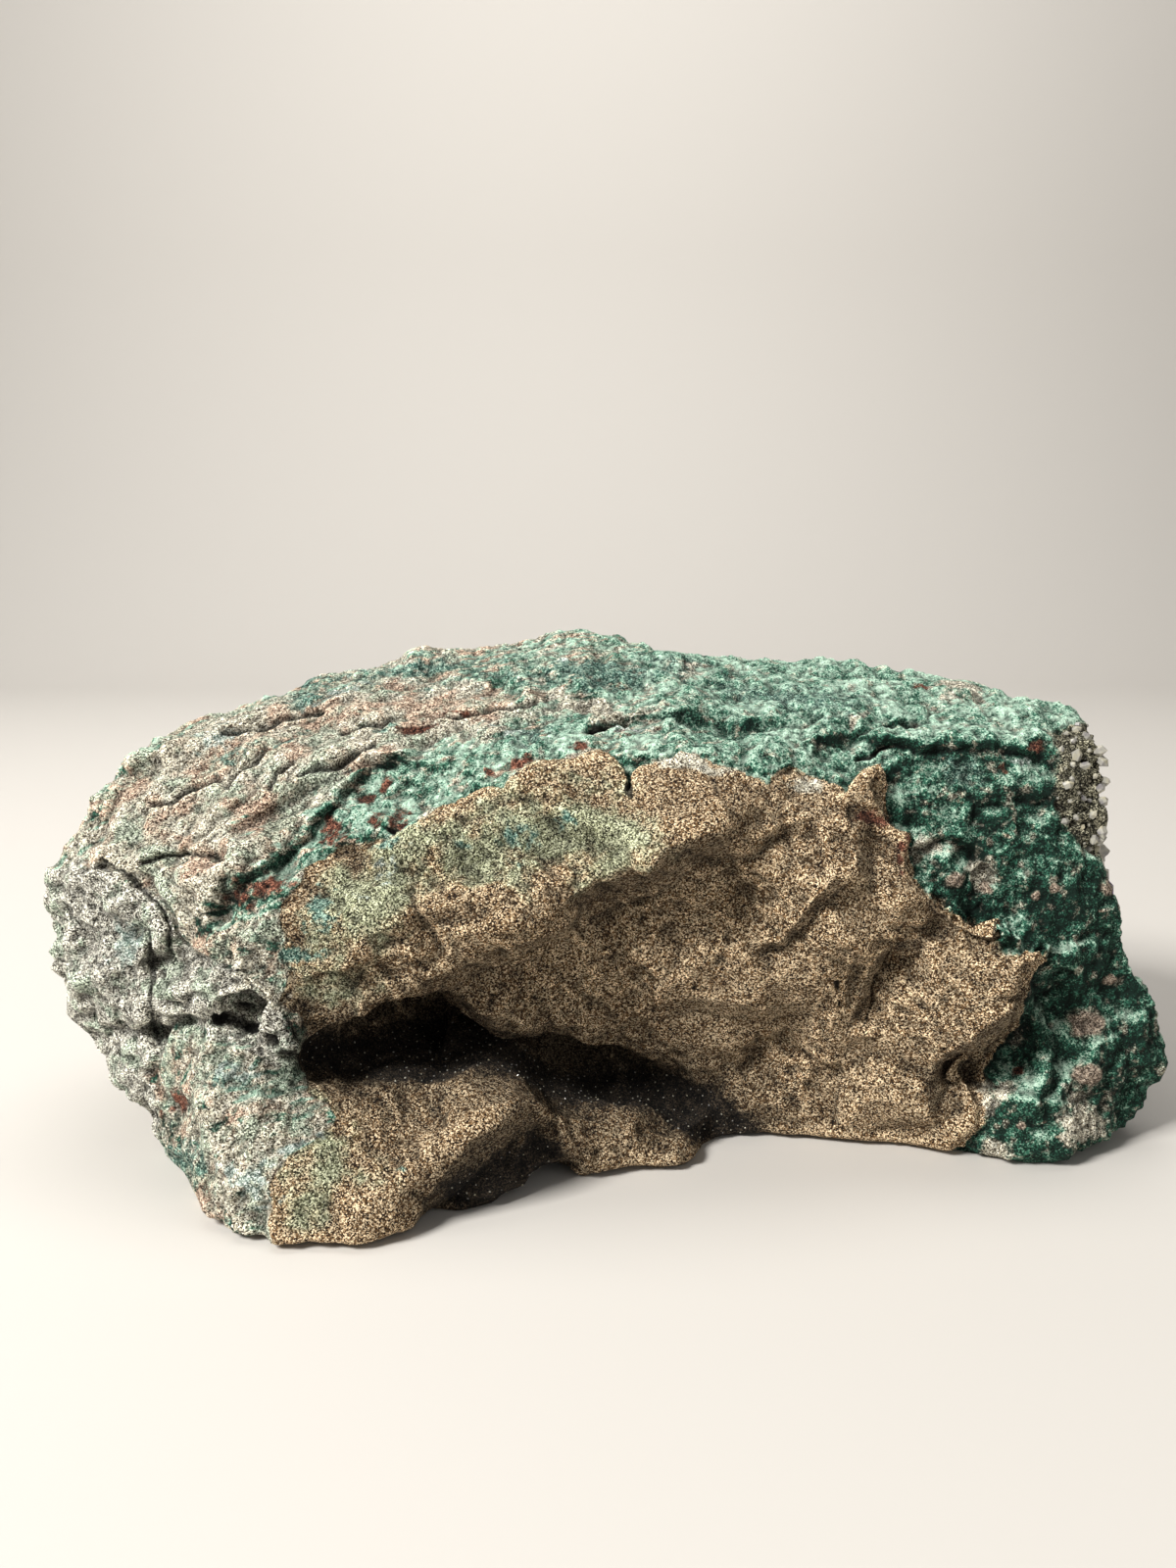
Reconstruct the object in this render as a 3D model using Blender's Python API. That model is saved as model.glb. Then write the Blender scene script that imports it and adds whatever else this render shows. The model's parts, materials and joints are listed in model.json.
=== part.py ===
"""Amethyst specimen: a broken block of basalt with a green outer skin and an end hollow lined with crystals.

Frame: +X to the right along the block, +Y to the back, +Z up. The origin is under the middle of the
block, on the surface that it stands on. The block is about 0.42 m long, 0.22 m deep and 0.18 m high.

The block is lofted through lines that run along it from its left end to its right end, each at a ridge
or a hollow of the stone. Chips are added and cut away, the layers are stepped and the broken surface is
faceted. The crystals are six-sided points fused with the layer that they grow from, and that layer lines
the hollow in the right end.
"""

import math
import random

import bmesh
import bpy
import numpy as np
from mathutils import Matrix, Vector

MM = 0.001

# ---------------------------------------------------------------- driving dimensions
STATIONS = 110  # cross-sections along the block
STEPS_BETWEEN_LINES = 4
LINE_SOFTNESS = 0.35  # 0 leaves a hard ridge at each line, 1 rounds it off
VOXEL = 2.4 * MM
MATRIX_TRIANGLES = 6000
CLEARANCE = 0.3 * MM  # between the crust and the rock that it lines

FACET_SIZE, FACET_TILT = 30 * MM, 0.075
CHIP_SIZE, CHIP_TILT = 14 * MM, 0.07
BACK_FACET_SIZE, BACK_FACET_TILT = 58 * MM, 0.16  # the back broke in broader planes

VIEWING_POINT = np.array((-8, -450, 213)) * MM  # the front is laid out as seen from here,
FRONT_PLANE = -65 * MM  # on an upright plane at this Y
TOP_LAYER_STEP, TOP_LAYER_REACH = 3 * MM, 16 * MM
END_LAYER_STEP, END_LAYER_REACH = 7 * MM, 30 * MM

HOLLOW_CENTRE = Vector((184, 12, 97)) * MM  # in the right end, at its mouth
HOLLOW_AXIS = Vector((0.97, -0.08, 0.20)).normalized()
HOLLOW_HALF_WIDTH, HOLLOW_HALF_HEIGHT, HOLLOW_DEPTH = 51 * MM, 47 * MM, 30 * MM
HOLLOW_RINGS, HOLLOW_SIDES = 7, 32
MOUTH_FLARE = 14 * MM
CRUST_THICKNESS = 5.5 * MM
CRYSTAL_SPACING = 10.6 * MM
CRYSTAL_RADII = (5.0 * MM, 8.0 * MM)
CRYSTAL_ROOT = 2.6 * MM  # how far a crystal goes into the crust
# Crystals that stick out past the front edge of the hollow: degrees above its middle, length, radius in mm
EDGE_CRYSTALS = ((70, 6, 4.0), (56, 7, 4.4), (42, 5, 3.6), (26, 8, 4.8), (12, 5, 3.8), (-2, 7, 4.6), (-20, 5, 3.8))

# ---------------------------------------------------------------- lines along the block, in mm
# They are in order round the block: up the front, over the top, down the back.
BASE_FRONT = (
    (-197, -30, 50), (-186, -40, 36), (-174, -48, 20), (-162, -56, 2), (-148, -70, 0), (-132, -92, 0),
    (-120, -105, 0), (-106, -112, 0), (-90, -110, 0), (-74, -104, 0), (-62, -88, 0), (-44, -90, 0),
    (-20, -79, 0), (0, -65, 0), (26, -59, 0), (34, -50, 0), (42, -41, 0), (66, -39, 0), (90, -42, 0),
    (122, -51, 0), (140, -61, 0), (154, -63, 0), (172, -52, 0), (186, -42, 0), (198, -38, 8),
)
LOBE_EDGE = (
    (-203, -36, 56), (-190, -46, 46), (-178, -54, 33), (-166, -60, 22), (-150, -76, 17), (-136, -96, 16),
    (-121, -106, 12), (-101, -112, 10), (-82, -112, 11), (-74, -109, 14), (-62, -104, 21), (-50, -97, 28),
    (-29, -83, 33), (-13, -72, 25), (7, -65, 17), (27, -60, 8), (36, -46, 4), (44, -41, 5),
    (66, -40, 8), (90, -44, 8), (110, -48, 10), (122, -51, 14), (130, -56, 18), (142, -62, 20),
    (154, -64, 20), (184, -50, 22), (205, -42, 26),
)
LOBE_FACE = (
    (-204, -37, 62), (-190, -50, 54), (-178, -57, 42), (-165, -62, 35), (-150, -75, 35), (-135, -89, 36),
    (-120, -96, 34), (-101, -100, 30), (-82, -98, 27), (-62, -90, 30), (-48, -87, 33), (-29, -77, 31),
    (-13, -69, 24), (7, -63, 17), (27, -59, 9), (36, -45, 8), (44, -41, 12), (66, -42, 20),
    (90, -48, 22), (105, -54, 24), (118, -58, 28), (130, -58, 32), (142, -60, 36), (154, -62, 36),
    (184, -50, 38), (203, -43, 42),
)
LOBE_LIP = (
    (-205, -38, 68), (-190, -53, 61), (-178, -60, 51), (-163, -64, 48), (-150, -72, 53), (-135, -80, 57),
    (-120, -84, 53), (-105, -85, 47), (-95, -84, 43), (-72, -80, 41), (-55, -76, 37), (-38, -72, 33),
    (-29, -70, 29), (-13, -65, 23), (7, -60, 18), (22, -58, 12), (30, -56, 10), (38, -42, 12),
    (48, -40, 20), (66, -43, 32), (90, -52, 36), (105, -58, 36), (118, -60, 40), (128, -58, 44),
    (142, -60, 50), (154, -60, 52), (184, -48, 52), (197, -43, 57),
)
CREVICE = (
    (-205, -38, 72), (-190, -55, 65), (-178, -62, 56), (-163, -66, 54), (-150, -72, 57), (-135, -79, 61),
    (-120, -82, 57), (-108, -80, 50), (-98, -68, 48), (-84, -42, 50), (-70, -28, 50), (-55, -24, 46),
    (-38, -22, 39), (-20, -20, 31), (0, -21, 24), (16, -25, 19), (29, -31, 15), (40, -36, 16),
    (50, -38, 26), (66, -44, 42), (90, -55, 48), (105, -59, 46), (118, -60, 50), (130, -60, 54),
    (142, -61, 58), (154, -58, 60), (184, -47, 60), (192, -43, 64),
)
BROW = (
    (-205, -38, 78), (-190, -57, 71), (-178, -64, 65), (-163, -68, 62), (-150, -72, 62), (-135, -80, 66),
    (-120, -85, 62), (-106, -86, 53), (-98, -85, 55), (-90, -84, 58), (-79, -82, 64), (-70, -80, 67),
    (-62, -77, 67), (-54, -73, 62), (-36, -61, 48), (-23, -53, 42), (0, -45, 34), (16, -41, 31),
    (29, -40, 28), (44, -40, 30), (56, -43, 40), (72, -48, 50), (90, -56, 58), (105, -60, 56),
    (118, -62, 58), (130, -62, 60), (142, -63, 66), (154, -56, 68), (182, -46, 70), (188, -43, 74),
)
FACE = (
    (-206, -38, 86), (-190, -58, 80), (-176, -65, 76), (-160, -68, 76), (-148, -72, 76), (-135, -80, 78),
    (-120, -86, 76), (-105, -88, 66), (-98, -86, 66), (-90, -85, 70), (-79, -83, 76), (-66, -81, 80),
    (-54, -78, 80), (-36, -71, 72), (-20, -65, 66), (0, -57, 62), (20, -52, 60), (41, -54, 62),
    (55, -60, 72), (70, -63, 80), (85, -61, 79), (95, -58, 80), (105, -60, 82), (118, -62, 80),
    (132, -63, 78), (143, -64, 80), (150, -60, 81), (160, -52, 80), (180, -45, 84), (184, -43, 88),
)
SHOULDER = (
    (-205, -37, 94), (-190, -58, 92), (-176, -64, 92), (-160, -66, 92), (-148, -70, 92), (-135, -78, 96),
    (-120, -84, 92), (-108, -88, 80), (-95, -87, 80), (-82, -86, 84), (-69, -84, 88), (-56, -82, 94),
    (-40, -80, 96), (-20, -78, 99), (-3, -76, 109), (6, -75, 112), (18, -73, 119), (28, -71, 122),
    (38, -68, 128), (48, -64, 131), (60, -63, 122), (72, -64, 114), (84, -64, 106), (100, -62, 98),
    (112, -60, 100), (125, -58, 94), (134, -56, 92), (150, -50, 94), (178, -44, 100),
)
UPPER_FACE = (
    (-203, -35, 102), (-190, -54, 104), (-176, -59, 106), (-160, -62, 108), (-148, -66, 106), (-131, -74, 108),
    (-113, -80, 102), (-95, -80, 98), (-80, -77, 104), (-65, -75, 107), (-45, -71, 114), (-20, -69, 118),
    (0, -65, 126), (18, -63, 131), (32, -61, 135), (48, -58, 136), (62, -57, 132), (78, -57, 126),
    (92, -56, 118), (105, -54, 112), (120, -50, 110), (135, -47, 112), (150, -46, 114), (176, -42, 116),
)
RIM = (
    (-200, -30, 108), (-188, -46, 116), (-172, -50, 118), (-152, -56, 116), (-131, -68, 118), (-113, -72, 112),
    (-100, -69, 116), (-85, -64, 120), (-65, -61, 126), (-51, -58, 132), (-31, -54, 141), (-16, -51, 144),
    (-3, -49, 147), (16, -50, 146), (33, -50, 145), (46, -50, 142), (62, -48, 141), (77, -49, 140),
    (92, -50, 138), (104, -46, 130), (126, -42, 130), (150, -41, 130), (176, -38, 130),
)
TOP_FRONT = (
    (-199, -22, 114), (-186, -40, 123), (-176, -40, 130), (-165, -34, 137), (-146, -34, 139), (-120, -40, 138),
    (-92, -42, 138), (-66, -42, 141), (-40, -41, 147), (-14, -38, 152), (14, -36, 153), (40, -36, 150),
    (66, -34, 150), (92, -33, 151), (120, -31, 150), (150, -30, 148), (177, -30, 145),
)
TOP_MIDDLE = (
    (-199, -10, 114), (-186, -34, 128), (-176, -30, 137), (-165, -20, 146), (-140, -12, 152), (-112, -7, 157),
    (-84, -3, 161), (-52, 0, 165), (-20, 2, 168), (14, 5, 167), (50, 6, 165), (90, 4, 162),
    (126, 0, 159), (152, -6, 157), (178, -16, 153),
)
CREST = (
    (-200, 4, 112), (-186, -24, 130), (-176, -16, 140), (-165, -4, 150), (-153, 4, 157), (-142, 10, 159),
    (-125, 18, 163), (-109, 25, 166), (-92, 30, 168), (-80, 34, 174), (-49, 40, 178), (-20, 45, 182),
    (8, 48, 180), (33, 48, 176), (58, 48, 173), (99, 45, 169), (126, 38, 164), (148, 30, 162),
    (170, 10, 161), (180, 0, 157),
)
BACK_TOP = (
    (-203, 18, 108), (-184, 12, 126), (-165, 26, 140), (-140, 40, 147), (-109, 54, 153), (-80, 62, 160),
    (-49, 68, 164), (-10, 74, 165), (33, 76, 161), (70, 76, 158), (110, 72, 152), (145, 60, 148),
    (170, 44, 148), (182, 36, 146),
)
BACK_SHOULDER = (
    (-206, 26, 90), (-188, 36, 100), (-165, 52, 112), (-140, 68, 118), (-109, 82, 122), (-70, 92, 128),
    (-30, 96, 126), (10, 102, 130), (50, 100, 122), (90, 98, 118), (130, 92, 116), (165, 84, 114),
    (187, 76, 108),
)
BACK_MIDDLE = (
    (-206, 24, 70), (-188, 42, 68), (-165, 60, 66), (-140, 78, 62), (-109, 92, 58), (-70, 100, 60),
    (-30, 103, 54), (10, 105, 56), (50, 102, 50), (90, 103, 54), (130, 98, 50), (165, 92, 52),
    (197, 82, 48),
)
BASE_BACK = (
    (-200, 6, 50), (-184, 24, 26), (-165, 38, 6), (-148, 50, 0), (-120, 70, 0), (-90, 84, 0),
    (-50, 90, 0), (-10, 94, 0), (30, 92, 0), (70, 90, 0), (110, 88, 0), (150, 80, 0), (200, 66, 6),
)
LINES = (
    BASE_FRONT, LOBE_EDGE, LOBE_FACE, LOBE_LIP, CREVICE, BROW, FACE, SHOULDER, UPPER_FACE, RIM, TOP_FRONT,
    TOP_MIDDLE, CREST, BACK_TOP, BACK_SHOULDER, BACK_MIDDLE, BASE_BACK,
)
LEFT_NOSE = (-213, -4, 82)
RIGHT_MIDDLE = (196, 20, 84)

# ---------------------------------------------------------------- on the front plane, in mm: (X, Z)
BROWN_TOP_EDGE = (
    (-107, 111), (-85, 120), (-65, 124), (-51, 133), (-35, 138), (-26, 145), (-16, 145), (-3, 149),
    (2, 144), (6, 136), (9, 143), (23, 148), (44, 142), (52, 139), (59, 145), (74, 137), (80, 136),
)
BROWN_END_EDGE = (
    (89, 134), (92, 126), (100, 121), (100, 113), (106, 104), (118, 96), (131, 90), (133, 84),
    (140, 79), (150, 81), (145, 75), (137, 60), (141, 51), (132, 42), (128, 34), (128, 27), (128, 17),
    (122, 10),
)
CRACKS = (
    ((-172, 112), (-169, 110), (-162, 107), (-158, 104), (-154, 98), (-150, 91), (-150, 83)),
    ((-158, 109), (-149, 115), (-138, 115), (-132, 117)),
    ((-130, 105), (-133, 101), (-136, 93)),
    ((-158, 80), (-158, 67), (-159, 52), (-157, 47)),
    ((114, 89), (101, 85), (93, 81), (86, 70), (82, 54)),
)
CRACK_WIDTH, CRACK_DEPTH = 4.5 * MM, 4 * MM
PIT_CENTRE, PIT_WIDTH, PIT_DEPTH = (-130, 57), 8.5 * MM, 9 * MM

# ---------------------------------------------------------------- chips, each the hull of its corners, in mm
HORN = (
    (76, -50, 130), (84, -56, 141), (91, -58, 147), (97, -56, 142), (97, -52, 130), (84, -44, 140),
    (92, -40, 138), (84, -58, 130), (92, -50, 126),
)
SPIKE = (
    (152, -67, 82), (146, -68, 77), (136, -68, 68), (130, -66, 86), (124, -64, 96), (112, -60, 96),
    (112, -62, 60), (126, -52, 60), (138, -50, 84), (120, -44, 90),
)
LEDGE_FOOT = (
    (120, -63, 47), (112, -62, 36), (130, -60, 33), (136, -64, 62), (120, -64, 62), (108, -58, 60),
    (110, -46, 34), (140, -50, 64), (132, -48, 36),
)
BEAK = (
    (-128, -84, 84), (-119, -89, 80), (-108, -92, 72), (-103, -92, 66), (-101, -90, 56), (-106, -88, 52),
    (-116, -78, 60), (-120, -72, 84), (-104, -74, 60), (-104, -76, 76), (-128, -74, 72),
)
CHIPS = (HORN, SPIKE, LEDGE_FOOT, BEAK)


def clear_scene():
    for obj in list(bpy.data.objects):
        bpy.data.objects.remove(obj, do_unlink=True)


# ---------------------------------------------------------------- meshes and numpy
def mesh_object(name, bm):
    mesh = bpy.data.meshes.new(name)
    bm.to_mesh(mesh)
    bm.free()
    obj = bpy.data.objects.new(name, mesh)
    bpy.context.scene.collection.objects.link(obj)
    return obj


def as_cutter(obj):
    obj.hide_render = True
    obj.display_type = "WIRE"
    return obj


def applied(obj):
    """Replaces the object's mesh by what its modifiers make of it."""
    bpy.context.view_layer.update()
    graph = bpy.context.evaluated_depsgraph_get()
    mesh = bpy.data.meshes.new_from_object(obj.evaluated_get(graph))
    obj.modifiers.clear()
    obj.data = mesh
    return obj


def remeshed(obj, voxel):
    """One closed skin round everything in the object."""
    remesh = obj.modifiers.new("one skin", "REMESH")
    remesh.mode = "VOXEL"
    remesh.voxel_size = voxel
    return applied(obj)


def boolean(obj, operation, other):
    step = obj.modifiers.new(operation.lower() + " " + other.name, "BOOLEAN")
    step.operation = operation
    step.solver = "EXACT"
    step.use_self = operation == "UNION"
    step.object = other
    return step


def points_of(obj):
    points = np.empty(len(obj.data.vertices) * 3, np.float32)
    obj.data.vertices.foreach_get("co", points)
    return points.reshape(-1, 3).astype(float)


def normals_of(obj):
    normals = np.empty(len(obj.data.vertices) * 3, np.float32)
    obj.data.vertices.foreach_get("normal", normals)
    return normals.reshape(-1, 3).astype(float)


def set_points(obj, points):
    obj.data.vertices.foreach_set("co", points.astype(np.float32).ravel())
    obj.data.update()


def hull_into(bm, corners):
    """Adds the convex hull of the corners, given in mm, as a closed piece."""
    piece = bmesh.new()
    for corner in corners:
        piece.verts.new(Vector(corner) * MM)
    made = bmesh.ops.convex_hull(piece, input=piece.verts)
    inside = set(made["geom_interior"]) | set(made["geom_unused"])
    bmesh.ops.delete(piece, geom=[v for v in inside if isinstance(v, bmesh.types.BMVert)], context="VERTS")
    bmesh.ops.recalc_face_normals(piece, faces=piece.faces)
    mesh = bpy.data.meshes.new("chip")
    piece.to_mesh(mesh)
    piece.free()
    bm.from_mesh(mesh)
    bpy.data.meshes.remove(mesh)


# ---------------------------------------------------------------- the block
def line_points(line, count):
    """Points along a line at even steps of X, on a smooth curve through its knots."""
    knots = np.array(line, float) * MM
    x = knots[:, 0]
    slopes = np.gradient(knots, x, axis=0)
    wanted = np.linspace(x[0], x[-1], count)
    left = np.clip(np.searchsorted(x, wanted) - 1, 0, len(x) - 2)
    span = (x[left + 1] - x[left])[:, None]
    t = (wanted - x[left])[:, None] / span
    curve = (
        (2 * t**3 - 3 * t**2 + 1) * knots[left]
        + (t**3 - 2 * t**2 + t) * span * slopes[left]
        + (3 * t**2 - 2 * t**3) * knots[left + 1]
        + (t**3 - t**2) * span * slopes[left + 1]
    )
    straight = knots[left] + (knots[left + 1] - knots[left]) * t
    return straight + (curve - straight) * 0.5


def section_points(corners):
    """One cross-section: its corners joined by curves that are partly rounded, as broken rock is."""
    ring = []
    count = len(corners)
    for i in range(count):
        before, start, end, after = (corners[(i + k) % count] for k in (-1, 0, 1, 2))
        softness = 0 if i == count - 1 else LINE_SOFTNESS
        for step in range(STEPS_BETWEEN_LINES):
            t = step / STEPS_BETWEEN_LINES
            straight = start + (end - start) * t
            curved = 0.5 * (
                2 * start
                + (end - before) * t
                + (2 * before - 5 * start + 4 * end - after) * t * t
                + (3 * start - before - 3 * end + after) * t**3
            )
            ring.append(straight + (curved - straight) * softness)
    return ring


def lofted_block():
    """The block as a closed mesh through all the lines."""
    rows = np.stack([line_points(line, STATIONS) for line in LINES], axis=1)
    bm = bmesh.new()
    rings = [[bm.verts.new(p) for p in section_points(list(row))] for row in rows]
    for ring, following in zip(rings, rings[1:]):
        for i in range(len(ring)):
            j = (i + 1) % len(ring)
            bm.faces.new((ring[i], ring[j], following[j], following[i]))
    nose = bm.verts.new(Vector(LEFT_NOSE) * MM)
    middle = bm.verts.new(Vector(RIGHT_MIDDLE) * MM)
    for i in range(len(rings[0])):
        j = (i + 1) % len(rings[0])
        bm.faces.new((rings[0][i], nose, rings[0][j]))
        bm.faces.new((rings[-1][i], rings[-1][j], middle))
    bmesh.ops.recalc_face_normals(bm, faces=bm.faces)
    return bm


# ---------------------------------------------------------------- broken surface
def faceted(points, normals, size, tilt, seed):
    """Moves each point along its normal to the lowest of the random planes near it, which leaves flat
    facets that meet at creases, about size across and leaning by about tilt."""
    source = np.random.default_rng(seed)
    low = points.min(axis=0) - 2 * size
    shape = tuple(np.ceil((points.max(axis=0) - low) / size).astype(int) + 3)
    corners = np.stack(np.meshgrid(*[np.arange(n) for n in shape], indexing="ij"), axis=-1)
    centres = low + (corners + source.uniform(0.1, 0.9, corners.shape)) * size
    leans = source.normal(0, tilt, centres.shape)
    heights = source.uniform(-0.04, 0.04, shape) * size
    cell = np.floor((points - low) / size).astype(int)
    moved = np.full(len(points), np.inf)
    for step in np.ndindex(3, 3, 3):
        x, y, z = (cell + np.array(step) - 1).T
        offset = points - centres[x, y, z]
        past = np.clip(np.linalg.norm(offset, axis=1) / size - 0.7, 0, None)
        moved = np.minimum(moved, (offset * leans[x, y, z]).sum(axis=1) + heights[x, y, z] + 0.6 * size * past**2)
    moved -= np.median(moved)
    return points + normals * np.clip(moved, -0.16 * size, 0.05 * size)[:, None]


def on_front_plane(points):
    """(X, Z) of each point where the line to it from the viewing point meets the front plane."""
    share = (FRONT_PLANE - VIEWING_POINT[1]) / (points[:, 1] - VIEWING_POINT[1])
    return (VIEWING_POINT + (points - VIEWING_POINT) * share[:, None])[:, [0, 2]]


def to_outline(places, outline, scale=MM):
    """Distance of each place from the outline, and on which side of its nearest stretch it lies."""
    knots = np.array(outline, float) * scale
    best = np.full(len(places), np.inf)
    side = np.zeros(len(places))
    for start, end in zip(knots, knots[1:]):
        along = end - start
        t = np.clip(((places - start) @ along) / (along @ along), 0, 1)
        offset = places - (start + t[:, None] * along)
        distance = np.linalg.norm(offset, axis=1)
        closer = distance < best
        best = np.where(closer, distance, best)
        side = np.where(closer, np.sign(along[0] * offset[:, 1] - along[1] * offset[:, 0]), side)
    return best, side


def stepped(points, normals, outline, depth, reach):
    """Sinks the ground to the left of the outline, most at the outline, so that the other side stands proud."""
    distance, side = to_outline(on_front_plane(points), outline)
    facing = np.clip(-normals[:, 1] * 2 + np.clip(normals[:, 2], 0, 1), 0, 1) * (points[:, 1] < 20 * MM)
    fall = np.clip(1 - distance / reach, 0, 1) ** 1.5 * (side > 0)
    inward = normals * 0.6 + np.array((0, -0.4, 0))
    return points - inward * (depth * fall * facing)[:, None]


def carved(points, normals):
    """Cuts the cracks and the pit."""
    places = on_front_plane(points)
    front = (normals[:, 1] < 0.2) & (points[:, 1] < 0)
    sunk = np.zeros(len(points))
    for crack in CRACKS:
        distance, _ = to_outline(places, crack)
        sunk = np.maximum(sunk, CRACK_DEPTH * np.clip(1 - distance / CRACK_WIDTH, 0, 1))
    reach = np.linalg.norm(places - np.array(PIT_CENTRE) * MM, axis=1)
    sunk = np.maximum(sunk, PIT_DEPTH * np.clip(1 - (reach / PIT_WIDTH) ** 2, 0, 1))
    return points - normals * (sunk * front)[:, None]


def matrix_block():
    bm = lofted_block()
    for chip in CHIPS:
        hull_into(bm, chip)
    rock = remeshed(mesh_object("matrix", bm), VOXEL)
    points = points_of(rock)
    broken = faceted(points, normals_of(rock), BACK_FACET_SIZE, BACK_FACET_TILT, 13)
    behind = np.clip((points[:, 1] - 45 * MM) / (25 * MM), 0, 1) * np.clip(points[:, 2] / (20 * MM), 0, 1)
    points += (broken - points) * behind[:, None]
    set_points(rock, points)
    points = faceted(points, normals_of(rock), FACET_SIZE, FACET_TILT, 11)
    set_points(rock, points)
    points = faceted(points, normals_of(rock), CHIP_SIZE, CHIP_TILT, 12)
    set_points(rock, points)
    points = stepped(points, normals_of(rock), BROWN_TOP_EDGE, TOP_LAYER_STEP, TOP_LAYER_REACH)
    points = stepped(points, normals_of(rock), BROWN_END_EDGE, END_LAYER_STEP, END_LAYER_REACH)
    points = carved(points, normals_of(rock))
    set_points(rock, points)
    return rock


# ---------------------------------------------------------------- the hollow and its crystals
def hollow_frame():
    """The hollow's own frame: its Z runs out through the mouth, its X to the back and its Y up."""
    out = HOLLOW_AXIS
    side = Vector((0, 0, 1)).cross(out).normalized()
    up = out.cross(side)
    return Matrix.Translation(HOLLOW_CENTRE) @ Matrix((side, up, out)).transposed().to_4x4()


def mouth_radius(angle):
    """Distance from the middle of the mouth to its edge, in the hollow's frame."""
    oval = 1 / math.hypot(math.cos(angle) / HOLLOW_HALF_WIDTH, math.sin(angle) / HOLLOW_HALF_HEIGHT)
    return oval * (1 + 0.05 * math.sin(3 * angle + 0.6) + 0.035 * math.sin(5 * angle + 2.1))


def bowl_point(share, angle, inset):
    """A point of the bowl: share is 0 at its bottom and 1 at its mouth, inset is how far inside it lies."""
    radius = max(mouth_radius(angle) - inset, 0) * math.sin(share * math.pi / 2)
    depth = (HOLLOW_DEPTH - inset) * math.cos(share * math.pi / 2)
    return Vector((radius * math.cos(angle), radius * math.sin(angle), -depth))


def bowl_rings(bm, inset):
    """The bowl's surface, from its bottom to its mouth: the point at the bottom and the rings."""
    bottom = bm.verts.new(bowl_point(0, 0, inset))
    rings = [
        [bm.verts.new(bowl_point(k / HOLLOW_RINGS, 2 * math.pi * i / HOLLOW_SIDES, inset)) for i in range(HOLLOW_SIDES)]
        for k in range(1, HOLLOW_RINGS + 1)
    ]
    return bottom, rings


def skin(bm, rings):
    for ring, following in zip(rings, rings[1:]):
        for i in range(HOLLOW_SIDES):
            j = (i + 1) % HOLLOW_SIDES
            bm.faces.new((ring[i], ring[j], following[j], following[i]))


def fan(bm, ring, point):
    for i in range(HOLLOW_SIDES):
        bm.faces.new((ring[i], ring[(i + 1) % HOLLOW_SIDES], point))


def raised_ring(bm, ring, outward, along):
    """A ring past the mouth, wider by outward and further out by along."""
    made = []
    for vert in ring:
        flat = Vector((vert.co.x, vert.co.y, 0))
        made.append(bm.verts.new(vert.co + flat.normalized() * outward + Vector((0, 0, along))))
    return made


def hollow_volume(name, inset):
    """Everything inside the bowl and in front of its mouth, where it widens."""
    bm = bmesh.new()
    bottom, rings = bowl_rings(bm, inset)
    rings.append(raised_ring(bm, rings[-1], MOUTH_FLARE, MOUTH_FLARE))
    rings.append(raised_ring(bm, rings[-1], 0, 30 * MM))
    skin(bm, rings)
    fan(bm, rings[0], bottom)
    fan(bm, rings[-1], bm.verts.new((0, 0, 60 * MM)))
    bmesh.ops.recalc_face_normals(bm, faces=bm.faces)
    bm.transform(hollow_frame())
    return as_cutter(mesh_object(name, bm))


def crust_shell():
    """The layer that the crystals grow from. Its back is cut to the bowl afterwards."""
    bm = bmesh.new()
    outer_bottom, outer = bowl_rings(bm, -1 * MM)
    inner_bottom, inner = bowl_rings(bm, CLEARANCE + CRUST_THICKNESS)
    lip = raised_ring(bm, outer[-1], 1 * MM, 1.5 * MM)
    inner_lip = raised_ring(bm, inner[-1], 1.5 * MM, 2.5 * MM)
    skin(bm, outer + [lip, inner_lip] + inner[::-1])
    fan(bm, outer[0], outer_bottom)
    fan(bm, inner[0], inner_bottom)
    bmesh.ops.recalc_face_normals(bm, faces=bm.faces)
    bm.transform(hollow_frame())
    return bm


def crystal_into(bm, base, axis, radius, length, source):
    """One six-sided crystal: its sides, then the point that three broad and three narrow faces make."""
    turn = source.uniform(0, math.pi / 3)
    frame = Matrix.Translation(base) @ axis.to_track_quat("Z", "Y").to_matrix().to_4x4()
    point_height = min(radius * 1.15, length * 0.7)
    corners = [(math.cos(turn + k * math.pi / 3), math.sin(turn + k * math.pi / 3)) for k in range(6)]
    foot = [bm.verts.new(frame @ Vector((x * radius * 0.94, y * radius * 0.94, -CRYSTAL_ROOT))) for x, y in corners]
    shoulder = [
        bm.verts.new(frame @ Vector((x * radius, y * radius, length - point_height * (1.0 if k % 2 else 0.8))))
        for k, (x, y) in enumerate(corners)
    ]
    lean = Vector((source.uniform(-0.15, 0.15), source.uniform(-0.15, 0.15), 0)) * radius
    apex = bm.verts.new(frame @ (Vector((0, 0, length)) + lean))
    bm.faces.new(foot[::-1])
    for k in range(6):
        j = (k + 1) % 6
        bm.faces.new((foot[k], foot[j], shoulder[j], shoulder[k]))
        bm.faces.new((shoulder[k], shoulder[j], apex))


def crystal_places(source):
    """Places on the bowl for the crystals, none nearer another than the spacing: (share, angle)."""
    chosen = []
    for _ in range(2600):
        share, angle = math.sqrt(source.uniform(0, 1)), source.uniform(0, 2 * math.pi)
        place = bowl_point(share, angle, CLEARANCE + CRUST_THICKNESS)
        if all((place - other).length > CRYSTAL_SPACING for other, _, _ in chosen):
            chosen.append((place, share, angle))
    return chosen


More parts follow.
